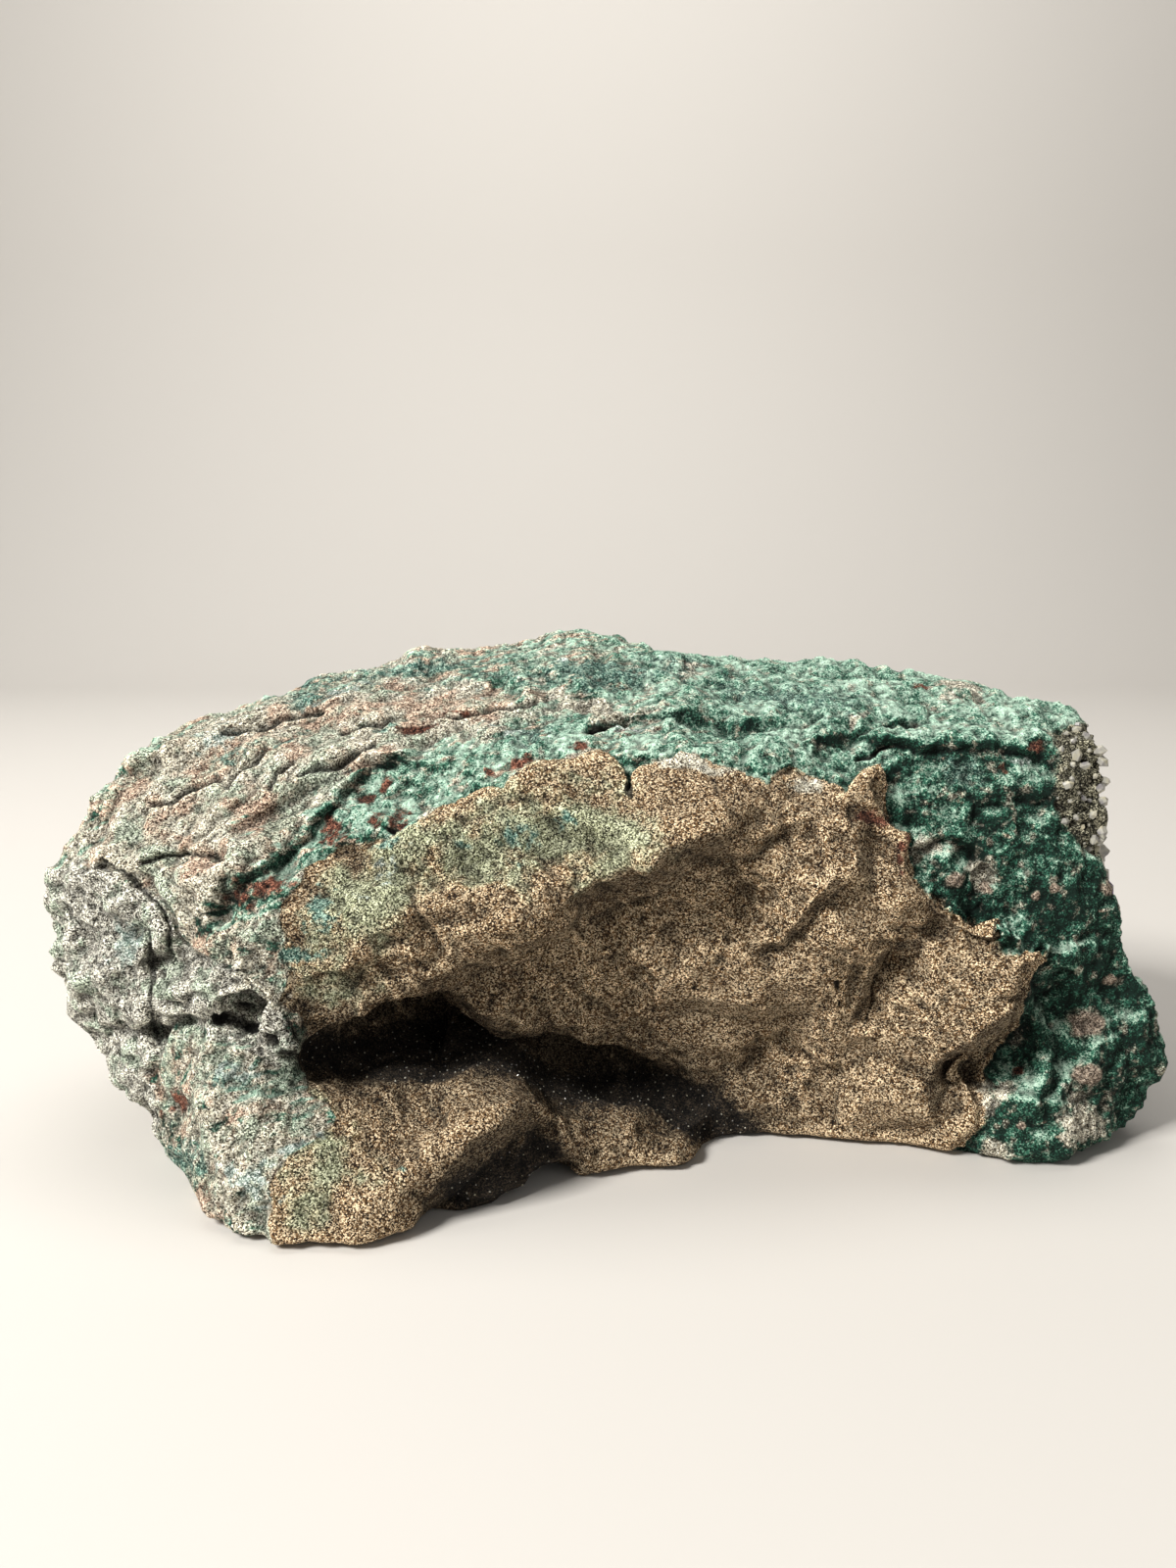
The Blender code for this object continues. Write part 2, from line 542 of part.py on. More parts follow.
def crystals():
    source = random.Random(7)
    frame = hollow_frame()
    turned = frame.to_3x3()
    bm = bmesh.new()
    for place, share, angle in crystal_places(source):
        inward = -Vector((place.x, place.y, place.z * 2.2 - 10 * MM)).normalized()
        axis = Vector((inward.x * 0.8, inward.y * 0.8, abs(inward.z) + 0.35))
        axis += Vector([source.uniform(-0.22, 0.22) for _ in range(3)])
        radius = source.uniform(*CRYSTAL_RADII) * (1.08 - 0.3 * share)
        length = radius * source.uniform(1.5, 2.3)
        crystal_into(bm, frame @ place, (turned @ axis).normalized(), radius, length, source)
    for above, length, radius in EDGE_CRYSTALS:
        place = bowl_point(1, math.pi - math.radians(above), CLEARANCE + CRUST_THICKNESS / 2)
        axis = Vector((-0.5, source.uniform(-0.2, 0.3), 1))
        crystal_into(bm, frame @ place, (turned @ axis).normalized(), radius * MM, length * MM, source)
    bmesh.ops.recalc_face_normals(bm, faces=bm.faces)
    return bm


def crystal_crust():
    crust = mesh_object("amethyst_crust", crust_shell())
    boolean(crust, "UNION", as_cutter(mesh_object("crystals", crystals())))
    boolean(crust, "INTERSECT", hollow_volume("crust_room", CLEARANCE))
    return crust


def flat_foot(points):
    """Presses everything near the bottom flat onto the resting plane."""
    low = points[:, 2] < 1.2 * MM
    points[low, 2] = 0
    return points


def coloured(obj, name, colour, roughness):
    material = bpy.data.materials.new(name)
    material.use_nodes = True
    shader = material.node_tree.nodes["Principled BSDF"]
    shader.inputs["Base Color"].default_value = (*colour, 1)
    shader.inputs["Roughness"].default_value = roughness
    material.diffuse_color = (*colour, 1)
    obj.data.materials.clear()
    obj.data.materials.append(material)


def centred(objects):
    """Puts the origin under the middle of the whole, on the resting plane."""
    everything = np.concatenate([points_of(obj) for obj in objects])
    middle = (everything.min(axis=0) + everything.max(axis=0)) / 2
    for obj in objects:
        set_points(obj, points_of(obj) - np.array((middle[0], middle[1], 0)))
    return middle


def main():
    clear_scene()
    rock = matrix_block()
    set_points(rock, flat_foot(points_of(rock)))
    lighten = rock.modifiers.new("fewer faces", "DECIMATE")
    triangles = sum(len(p.vertices) - 2 for p in rock.data.polygons)
    lighten.ratio = MATRIX_TRIANGLES / triangles
    lighten.use_collapse_triangulate = True
    applied(rock)
    set_points(rock, flat_foot(points_of(rock)))
    boolean(rock, "DIFFERENCE", hollow_volume("hollow_cutter", 0))
    applied(rock)
    crust = applied(crystal_crust())
    print("middle before centring, mm:", [round(v / MM, 2) for v in centred([rock, crust])])
    coloured(rock, "basalt", (0.16, 0.15, 0.11), 0.9)
    coloured(crust, "amethyst", (0.42, 0.30, 0.60), 0.2)


main()
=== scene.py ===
"""Looks of the amethyst specimen: broken basalt with a green rind, and the crystals in its end.

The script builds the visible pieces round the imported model. The rock is a dense copy of the node
`matrix`, broken up by displacement and coloured by where its minerals lie. The node `amethyst_crust`
becomes a bed of fine quartz with clear violet points on it.

Sizes are metres unless a name says millimetres. Places on the front are given in millimetres on an
upright plane, as they are seen from the viewing point.
"""

from __future__ import annotations

import itertools
import json
import logging
import math
import random
from dataclasses import dataclass
from enum import Enum
from typing import Iterable

import bmesh
import bpy
import numpy as np
from mathutils import Euler, Matrix, Vector

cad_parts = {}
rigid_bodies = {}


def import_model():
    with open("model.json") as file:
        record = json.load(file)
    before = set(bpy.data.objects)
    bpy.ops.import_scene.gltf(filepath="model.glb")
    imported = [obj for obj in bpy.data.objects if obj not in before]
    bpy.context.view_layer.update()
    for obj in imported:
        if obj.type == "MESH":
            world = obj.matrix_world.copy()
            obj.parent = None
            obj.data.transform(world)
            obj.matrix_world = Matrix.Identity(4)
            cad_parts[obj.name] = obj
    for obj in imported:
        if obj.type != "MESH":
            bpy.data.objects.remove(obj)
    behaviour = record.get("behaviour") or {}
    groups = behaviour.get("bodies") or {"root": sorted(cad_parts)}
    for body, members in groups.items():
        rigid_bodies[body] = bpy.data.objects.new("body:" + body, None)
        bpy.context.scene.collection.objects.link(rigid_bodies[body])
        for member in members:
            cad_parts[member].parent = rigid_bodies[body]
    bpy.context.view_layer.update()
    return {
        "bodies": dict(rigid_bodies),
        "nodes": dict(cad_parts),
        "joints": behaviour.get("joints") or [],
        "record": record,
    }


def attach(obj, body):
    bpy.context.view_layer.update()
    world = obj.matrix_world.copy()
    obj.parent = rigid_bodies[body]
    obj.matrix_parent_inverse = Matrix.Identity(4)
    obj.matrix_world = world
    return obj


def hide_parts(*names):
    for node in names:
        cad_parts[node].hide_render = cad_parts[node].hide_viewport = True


LOG = logging.getLogger("amethyst_specimen")
MM = 0.001

Colour = tuple[float, float, float]
Line = tuple[tuple[float, float], ...]
Oval = tuple[float, float, float, float, float]
Stops = tuple[tuple[float, Colour], ...]
Numbers = np.ndarray


# ---------------------------------------------------------------------------- layout of the front
@dataclass(frozen=True)
class FrontView:
    """The view that the front of the block is laid out in.

    Attributes:
        origin_mm: where the layout's own origin lies in the part's frame.
        eye_mm: the viewing point, from the layout's origin.
        plane_mm: Y of the upright plane that places are given on, from the layout's origin.
        pitch_deg: how far the view looks down.
        focal_mm: focal length of the camera, for its sensor's height.
        sensor_mm: height of the camera's sensor.
    """

    origin_mm: tuple[float, float] = (3.57, 3.97)
    eye_mm: tuple[float, float, float] = (-8.0, -450.0, 213.0)
    plane_mm: float = -65.0
    pitch_deg: float = 10.85
    focal_mm: float = 27.0
    sensor_mm: float = 36.0

    def from_layout(self, place_mm: tuple[float, float, float]) -> Vector:
        """Returns a place, given in mm from the layout's origin, in the part's frame in metres."""
        x, y, z = place_mm
        return Vector((x + self.origin_mm[0], y + self.origin_mm[1], z)) * MM

    def eye(self) -> Vector:
        """Returns the viewing point in the part's frame, in metres."""
        return self.from_layout(self.eye_mm)

    def places(self, points: Numbers) -> Numbers:
        """Projects points onto the upright plane.

        Args:
            points: positions in the part's frame, in metres.

        Returns:
            One (X, Z) pair for each point, in millimetres from the layout's origin.
        """
        eye = np.array(self.eye())
        ahead = (self.plane_mm - self.eye_mm[1]) * MM
        share = ahead / np.maximum(points[:, 1] - eye[1], MM)
        met = eye + (points - eye) * share[:, None]
        return np.stack([met[:, 0] / MM - self.origin_mm[0], met[:, 2] / MM], axis=1)


# Regions of the front: closed outlines
FRESH_FACE: Line = (
    (-107, 111), (-85, 120), (-65, 124), (-51, 133), (-35, 138), (-26, 145), (-16, 145), (-3, 149), (1, 145),
    (4, 142), (6, 136), (9, 143), (23, 148), (44, 142), (52, 139), (59, 145), (74, 139), (78, 136), (84, 145),
    (89, 147), (92, 142), (91, 134), (92, 126), (100, 122), (100, 113), (106, 104), (118, 96), (131, 90),
    (133, 84), (140, 79), (150, 81), (146, 75), (142, 64), (145, 51), (138, 43), (133, 36), (133, 18),
    (122, 7), (84, -22), (-36, -38), (-118, -42), (-119, -22), (-113, -3), (-102, 10), (-98, 23), (-109, 34),
    (-106, 44), (-104, 56), (-109, 70), (-111, 88), (-111, 102),
)
WEATHERED_END: Line = (
    (-232, 60), (-202, 85), (-193, 112), (-173, 112), (-158, 105), (-153, 95), (-146, 83), (-132, 76),
    (-122, 69), (-113, 60), (-108, 45), (-111, 37), (-126, 43), (-136, 50), (-148, 52), (-156, 48),
    (-159, 34), (-157, 16), (-155, -3), (-174, -12), (-232, 0),
)
PLATES: Line = (
    (-173, 122), (-161, 143), (-137, 162), (-105, 168), (-72, 173), (-34, 172), (-17, 168), (-40, 159),
    (-66, 151), (-86, 144), (-96, 134), (-107, 122), (-120, 112), (-133, 100), (-145, 93), (-158, 104),
)
SPOTTED_FLANK: Line = (
    (-187, 105), (-173, 122), (-137, 93), (-120, 112), (-107, 116), (-97, 112), (-93, 95), (-97, 70),
    (-104, 56), (-113, 56), (-126, 63), (-143, 70), (-158, 95),
)
SPOTTED_LOBE: Line = (
    (-158, 48), (-134, 50), (-111, 38), (-104, 34), (-98, 23), (-102, 10), (-113, -3), (-119, -22),
    (-135, -22), (-154, 5), (-163, 27),
)
# The crevices' dark and the hollow under the lobe: part dark stain, part painted shadow
CREVICE_STAIN_AND_SHADOW: Line = (
    (-110, 42), (-100, 48), (-76, 55), (-62, 59), (-49, 57), (-38, 50), (-27, 45), (-15, 41), (6, 40),
    (23, 36), (37, 30), (46, 23), (53, 16), (48, 9), (32, 10), (20, 19), (6, 23), (-8, 26), (-27, 30),
    (-49, 35), (-70, 36), (-94, 39),
)
FOOT_STAIN_AND_SHADOW: Line = (
    (-61, -14), (-60, -5), (-46, 0), (-33, 7), (-26, 10), (-18, 10), (-16, 3), (-27, -14), (-43, -18),
    (-54, -18),
)
OLIVE_STAIN: Line = (
    (-104, 84), (-98, 104), (-90, 117), (-74, 125), (-57, 128), (-39, 134), (-14, 142), (4, 136), (16, 127),
    (17, 114), (-6, 106), (-24, 108), (-48, 103), (-64, 100), (-68, 90), (-84, 72), (-98, 60), (-106, 66),
)
GREEN_BAND: Line = (
    (-131, 105), (-117, 114), (-104, 117), (-97, 131), (-80, 146), (-63, 152), (-31, 157), (-11, 162),
    (-11, 147), (-31, 146), (-41, 137), (-57, 129), (-71, 122), (-91, 117), (-104, 112), (-111, 100),
    (-125, 90), (-133, 93),
)
OLIVE_LOBE: Line = (
    (-116, 38), (-98, 32), (-86, 22), (-78, 6), (-84, -10), (-98, -24), (-121, -26), (-118, 2),
)
OPEN_DRUSE: Line = (
    (146, 157), (155, 160), (172, 157), (182, 112), (172, 106), (164, 112), (157, 120), (151, 127),
    (147, 140),
)

CRACKS: tuple[Line, ...] = (
    ((-172, 113), (-165, 108), (-160, 105), (-157, 101), (-153, 96), (-151, 88), (-152, 78)),
    ((-159, 112), (-148, 115), (-139, 115), (-131, 114)),
    ((-129, 139), (-125, 143), (-120, 147), (-115, 152)),
    ((-114, 137), (-111, 142), (-106, 146)),
    ((-154, 132), (-147, 133), (-139, 137), (-131, 141)),
    ((-104, 141), (-94, 144), (-88, 147), (-79, 152)),
    ((-89, 157), (-76, 160), (-63, 163), (-53, 162), (-40, 165), (-24, 167)),
    ((-159, 88), (-158, 72), (-160, 60), (-157, 47)),
    ((-134, 76), (-126, 70), (-118, 63), (-112, 56), (-108, 48)),
    ((-136, 57), (-125, 54), (-120, 51), (-115, 47), (-109, 43)),
    ((81, 157), (92, 159), (104, 163)),
    ((-9, 158), (5, 162)),
    ((-128, 156), (-112, 160), (-96, 164)),
)


@dataclass(frozen=True)
class Scarp:
    """A ridge in the rock with a furrow along one side.

    Attributes:
        line: the ridge. The side to the right of its direction is the furrow's.
        depth_mm: the furrow's depth.
        width_mm: how far the furrow reaches before the surface has mostly come back out.
        drop_mm: how far from the ridge the furrow's bottom lies.
    """

    # The ridge's height and reach, and the furrow's bottom, as shares of the sizes above
    RIDGE = 0.3
    RIDGE_REACH = 1.5
    BOTTOM = 1.3
    # How far the painted shade reaches, in drops, and the furrow depth in mm at which it is full
    SHADE_REACH = 1.4
    FULL_SHADE_MM = 7

    line: Line
    depth_mm: float
    width_mm: float
    drop_mm: float = 2.2

    def profile(self, away: Numbers, side: Numbers) -> Numbers:
        """Gives the scarp's heights.

        Args:
            away: distances from the ridge in mm.
            side: above 0 on its left.

        Returns:
            The heights in mm.
        """
        ridge = self.RIDGE * np.exp(-away / (self.RIDGE_REACH * self.width_mm))
        back = np.exp(-np.clip(away - self.drop_mm, 0, None) / self.width_mm)
        furrow = self.BOTTOM * np.clip(away / self.drop_mm, 0, 1) * back
        return self.depth_mm * np.where(side > 0, ridge, ridge - furrow)

    def shade(self, away: Numbers, side: Numbers) -> Numbers:
        """Returns how much painted shade darkens the furrow's steep side, from 0 to 1. The arguments are
        those of profile.
        """
        dark = np.exp(-((away / (self.SHADE_REACH * self.drop_mm)) ** 2))
        return min(self.depth_mm / self.FULL_SHADE_MM, 1) * np.where(side > 0, 0, dark)


SCARPS = (
    Scarp(
        ((-21, 93), (-11, 99), (-3, 105), (9, 108), (13, 112), (18, 118), (28, 122), (46, 128)),
        7.5, 22.0, 14.0,
    ),
    Scarp(((46, 83), (58, 86), (65, 95), (71, 102), (78, 112)), 5.0, 26.0, 5.0),
    Scarp(((81, 98), (81, 112), (80, 123), (73, 133)), 3.6, 18.0, 7.0),
    Scarp(((81, 50), (83, 60), (85, 69), (90, 77), (96, 84), (103, 86), (112, 86)), 8.5, 9.0, 6.5),
    Scarp(
        (
            (118, 14), (112, 23), (110, 30), (112, 37), (118, 43), (125, 51), (131, 57), (137, 63), (146, 76),
            (150, 81),
        ),
        8.5, 16.0, 13.0,
    ),
    Scarp(((40, 112), (50, 121), (60, 127), (72, 130)), 3.0, 9.0, 5.0),
    Scarp(((-66, 106), (-65, 97), (-60, 88), (-54, 78)), 2.6, 7.0),
    Scarp(((-74, 64), (-52, 76), (-35, 83), (-21, 88), (-2, 94)), 4.0, 13.0, 9.0),
    Scarp(((-79, -30), (-67, -9), (-50, 12), (-21, 29)), 6.0, 13.0, 12.0),
    Scarp(((-12, 162), (18, 165), (44, 161), (76, 162)), 2.6, 8.0),
    Scarp(((56, 154), (84, 158), (104, 152), (128, 153), (154, 147)), 2.8, 9.0),
    Scarp(((98, 117), (112, 122), (124, 117), (133, 106)), 3.0, 7.0),
    Scarp(((146, 14), (155, 38), (149, 56), (138, 74)), 3.4, 9.0, 5.0),
    Scarp(((-98, 64), (-84, 86), (-62, 96), (-36, 101)), 3.0, 11.0, 6.0),
    Scarp(((-140, 84), (-134, 98), (-128, 106), (-107, 118), (-97, 132), (-80, 147), (-58, 153)), 2.6, 7.0),
    Scarp(((-140, 122), (-112, 134), (-90, 146), (-62, 151)), 1.8, 5.0),
    Scarp(((-154, 110), (-136, 128), (-114, 142)), 2.0, 6.0),
    Scarp(((4, 60), (30, 66), (52, 62), (74, 66)), 2.4, 12.0, 7.0),
    Scarp(((116, 124), (122, 134), (134, 138), (150, 134)), 2.6, 8.0, 4.0),
)


class Mineral(Enum):
    """What lies on the basalt and its rind in patches."""

    TAN = "tan"
    TEAL = "teal"
    BLOOM = "bloom"
    RUST = "rust"
    NODULE = "nodule"
    PIT = "pit"


# X, Z, half width, half height and turn in degrees of each patch
PATCHES: dict[Mineral, tuple[Oval, ...]] = {
    Mineral.TAN: (
        (-7, 165, 16, 3, -6), (24, 174, 9, 2, -5), (112, 170, 11, 3, -8), (81, 161, 3, 2, 0),
        (-121, 70, 12, 5, -20), (66, 142, 8, 4, -8), (-16, 147, 11, 2, 0), (25, 144, 13, 3, 0),
        (134, 23, 3, 5, 0), (137, 30, 7, 4, 20), (137, 8, 6, 4, 0), (166, 21, 10, 9, 0), (109, 118, 8, 6, 0),
        (125, 108, 6, 4, -20),
    ),
    Mineral.TEAL: (
        (-25, 157, 10, 5, 10), (-127, 147, 11, 3, 35), (-109, 152, 9, 2, 25), (-77, 118, 8, 4, 0),
        (-31, 122, 8, 6, 0), (-15, 126, 4, 3, 0), (-49, 121, 3, 2, 0), (-133, 32, 9, 7, 0),
        (-152, 3, 6, 13, -20), (-2, 175, 40, 5, 0), (117, 144, 9, 5, 0), (-74, 157, 7, 2, 15),
        (-59, 177, 34, 5, 6), (-100, 171, 12, 3, 20), (-98, 95, 7, 9, 0), (-109, 79, 9, 5, 0),
        (56, 167, 26, 5, -5), (-78, 0, 2, 2, 0),
    ),
    Mineral.BLOOM: (
        (-135, 2, 8, 3, -20), (-124, 0, 10, 3, 10), (-112, 6, 7, 2, 18), (-103, 11, 4, 2, 30),
        (-126, -5, 11, 6, -20), (-78, 108, 4, 3, 0), (-125, -14, 5, 2, -10), (-32, 157, 5, 3, 0),
        (-132, 34, 7, 4, 0), (5, 159, 10, 2, -5), (-65, 118, 2, 1, 0), (-83, 99, 2, 1, 0),
        (-16, 178, 2, 1, 0), (-45, 168, 2, 1, 0), (-38, 161, 2, 1, 0), (137, 146, 4, 3, 0),
        (-169, 85, 7, 10, -10), (-133, 152, 9, 3, 30), (-90, 170, 13, 2, 14),
    ),
    Mineral.RUST: (
        (-94, 122, 5, 4, 0), (-72, 128, 5, 3, 0), (-82, 128, 3, 3, 0), (-74, 139, 4, 2, 0),
        (-81, 137, 4, 2, 0), (-30, 147, 7, 3, 15), (-40, 143, 4, 3, 0), (-8, 150, 4, 2, 0),
        (-119, 104, 7, 4, 10), (-129, 101, 4, 3, 0), (85, 126, 7, 3, -10), (98, 115, 2, 7, 0),
        (128, 144, 2, 2, 0), (142, 36, 2, 2, 0), (141, 152, 3, 2, 0), (-153, 26, 3, 5, -20),
        (-126, 97, 3, 2, 0), (-63, 157, 7, 2, 12), (-50, 161, 7, 1, 8), (5, 157, 3, 1, 0),
        (-16, 147, 4, 1, 0), (101, 172, 5, 2, 0),
    ),
    Mineral.NODULE: (
        (169, 104, 5, 4, 0), (167, 54, 6, 6, 0), (168, 35, 6, 5, 0), (117, 106, 4, 3, 0), (144, 101, 2, 2, 0),
        (150, 103, 2, 2, 0), (174, 70, 2, 2, 0), (145, 17, 2, 2, 0), (128, 103, 2, 2, 0),
    ),
    Mineral.PIT: (
        (6, 137, 2, 4, 0), (-3, 139, 1, 1, 0), (28, 68, 1, 1, 0), (79, 67, 2, 2, 0), (79, 62, 1, 1, 0),
        (117, 44, 1, 1, 0), (-74, 124, 2, 1, 0), (-135, 56, 4, 2, 15), (-126, 54, 4, 2, -20),
        (-118, 49, 4, 2, -30), (-112, 45, 3, 2, -30), (-128, 60, 2, 1, 0), (-122, 60, 2, 1, 30),
        (-117, 104, 1, 1, 0), (89, 152, 7, 1, 12), (-2, 160, 7, 1, 14),
    ),
}


# ---------------------------------------------------------------------------- numbers on points
# A patch's mark well away from the patch
FAR_OUTSIDE = -1.5


def smoothstep(low: float, high: float, values: Numbers) -> Numbers:
    """Returns 0 at low, 1 at high and a smooth change between them. Low may be the larger."""
    t = np.clip((values - low) / (high - low), 0, 1)
    return t * t * (3 - 2 * t)


class Noise:
    """Repeatable random fields in space.

    Args:
        seed: what the fields are drawn from.
    """

    CELLS = 1024
    ROWS = 1 << 16
    SEED_SHIFT = 0.37
    SEED_STEP = 131
    FACET_RISE = 1.8
    CELL_MARGIN = 0.15
    CELL_PLAY = 0.7

    def __init__(self, seed: int) -> None:
        """Draws the tables that the fields are looked up in."""
        source = np.random.default_rng(seed)
        self.keys = source.integers(0, self.ROWS, (3, self.CELLS)).astype(np.int32)
        self.table = source.random((self.ROWS, 3), dtype=np.float32)

    def _lattice(
        self, points: Numbers, size: float, seed: int, steps: tuple[int, ...]
    ) -> Iterable[tuple[Numbers, Numbers]]:
        """Goes through the lattice places near each point.

        Args:
            points: the points.
            size: the lattice's spacing.
            seed: which field it is.
            steps: how many places off the point's own the near ones lie, along each axis.

        Yields:
            The place's table row, and the point's offset from it in cells.
        """
        scaled = points / size + self.SEED_SHIFT * seed
        base = np.floor(scaled).astype(np.int32)
        part = scaled - base
        keys = [
            {
                step: self.keys[axis][(base[:, axis] + step + self.SEED_STEP * seed) % self.CELLS]
                for step in steps
            }
            for axis in range(3)
        ]
        for x, y, z in itertools.product(steps, repeat=3):
            yield keys[0][x] ^ keys[1][y] ^ keys[2][z], part - (x, y, z)

    def smooth(self, points: Numbers, size: float, seed: int) -> Numbers:
        """Gives smooth noise.

        Args:
            points: the points.
            size: how large its lumps are, about.
            seed: which field it is.

        Returns:
            Numbers from -1 to 1.
        """
        total = np.zeros(len(points))
        for row, offset in self._lattice(points, size, seed, (0, 1)):
            near = 1 - np.abs(offset)
            total += (near * near * (3 - 2 * near)).prod(axis=1) * self.table[row, 0]
        return total * 2 - 1

    def layered(self, points: Numbers, size: float, octaves: int, seed: int) -> Numbers:
        """Returns a sum of smooth noises, each half the size and half the height of the one before."""
        parts = (self.smooth(points, size / 2**k, seed + k) / 2**k for k in range(octaves))
        return sum(parts) / (2 - 2 ** (1 - octaves))

    def facets(self, points: Numbers, size: float, lean: float, seed: int) -> Numbers:
        """Gives flat facets with creases between them: heights that run straight between random ones.

        Args:
            points: the points.
            size: how large a facet is, about.
            lean: how steep they stand, about.
            seed: which field it is.

        Returns:
            The heights.
        """
        turn = np.array(Euler((0.6 + seed, 0.4 * seed, 1.0)).to_matrix())
        scaled = points @ turn / size
        corner = np.floor(scaled).astype(np.int32)
        part = scaled - corner
        # Each lattice cube is cut into six tetrahedra, by the order of a point's distances along the axes.
        order = np.argsort(-part, axis=1)
        part = np.take_along_axis(part, order, axis=1)
        largest, middle, least = part.T
        shares = np.column_stack([1 - largest, largest - middle, middle - least, least])
        height = shares[:, 0] * self._at(corner, seed)
        for k in range(3):
            corner[np.arange(len(corner)), order[:, k]] += 1
            height += shares[:, k + 1] * self._at(corner, seed)
        return (height - 0.5) * self.FACET_RISE * lean * size

    def _at(self, corner: Numbers, seed: int) -> Numbers:
        """Returns a number from 0 to 1 for each lattice place."""
        shift = self.SEED_STEP * seed
        x, y, z = (self.keys[axis][(corner[:, axis] + shift) % self.CELLS] for axis in range(3))
        return self.table[x ^ y ^ z, 0]

    def cells(self, points: Numbers, size: float, seed: int) -> Numbers:
        """Measures the distance to the nearest of a loose lattice of middles.

        Args:
            points: the points.
            size: how far apart the middles lie, about.
            seed: which lattice it is.

        Returns:
            The distances, in sizes.
        """
        best = np.full(len(points), np.inf)
        for row, offset in self._lattice(points, size, seed, (-1, 0, 1)):
            away = offset - self.CELL_MARGIN - self.CELL_PLAY * self.table[row]
            best = np.minimum(best, np.linalg.norm(away, axis=1))
        return best


def nearest_on(places: Numbers, line: Line) -> tuple[Numbers, Numbers, Numbers]:
    """Finds the nearest point of a line to each place.

    Args:
        places: positions on the plane.
        line: the line's knots.

    Returns:
        The distance, which side of the line the place is on (above 0 is left), and how far along the
        line the nearest point is, from 0 to 1.
    """
    knots = np.array(line, float)
    steps = np.linalg.norm(np.diff(knots, axis=0), axis=1)
    before = np.concatenate([[0], np.cumsum(steps)])
    best, side, share = np.full(len(places), np.inf), np.zeros(len(places)), np.zeros(len(places))
    for k, (start, end) in enumerate(zip(knots, knots[1:])):
        along = (end - start) / steps[k]
        offset = places - start
        run = np.clip(offset @ along, 0, steps[k])
        distance = np.hypot(offset[:, 0] - run * along[0], offset[:, 1] - run * along[1])
        left = along[0] * offset[:, 1] - along[1] * offset[:, 0]
        # Where two segments' shared knot is the nearest point, the one that faces the place settles its side.
        nearer = (distance < best - 1e-9) | ((distance < best + 1e-9) & (np.abs(left) > np.abs(side)))
        best = np.where(nearer, distance, best)
        side = np.where(nearer, left, side)
        share = np.where(nearer, (before[k] + run) / before[-1], share)
    return best, side, share


def depth_inside(places: Numbers, outline: Line) -> Numbers:
    """Measures how far places lie inside a closed outline.

    Args:
        places: positions on the plane.
        outline: its corners.

    Returns:
        The distances, negative outside it.
    """
    ring = outline + outline[:1]
    inside = np.zeros(len(places), bool)
    for (ax, az), (bx, bz) in zip(ring, ring[1:]):
        if az != bz:
            crosses = (az > places[:, 1]) != (bz > places[:, 1])
            inside ^= crosses & (places[:, 0] < (bx - ax) * (places[:, 1] - az) / (bz - az) + ax)
    return nearest_on(places, ring)[0] * np.where(inside, 1, -1)


def inside_ovals(places: Numbers, ovals: Iterable[Oval]) -> Numbers:
    """Measures how far places lie inside the nearest of some ovals.

    Args:
        places: positions on the plane.
        ovals: the ovals.

    Returns:
        Numbers that are 1 in an oval's middle and 0 on its edge.
    """
    best = np.full(len(places), FAR_OUTSIDE)
    for x, z, half_width, half_height, turn in ovals:
        angle = math.radians(turn)
        dx, dz = places[:, 0] - x, places[:, 1] - z
        along = dx * math.cos(angle) + dz * math.sin(angle)
        across = dz * math.cos(angle) - dx * math.sin(angle)
        best = np.maximum(best, 1 - np.hypot(along / half_width, across / half_height))
    return best


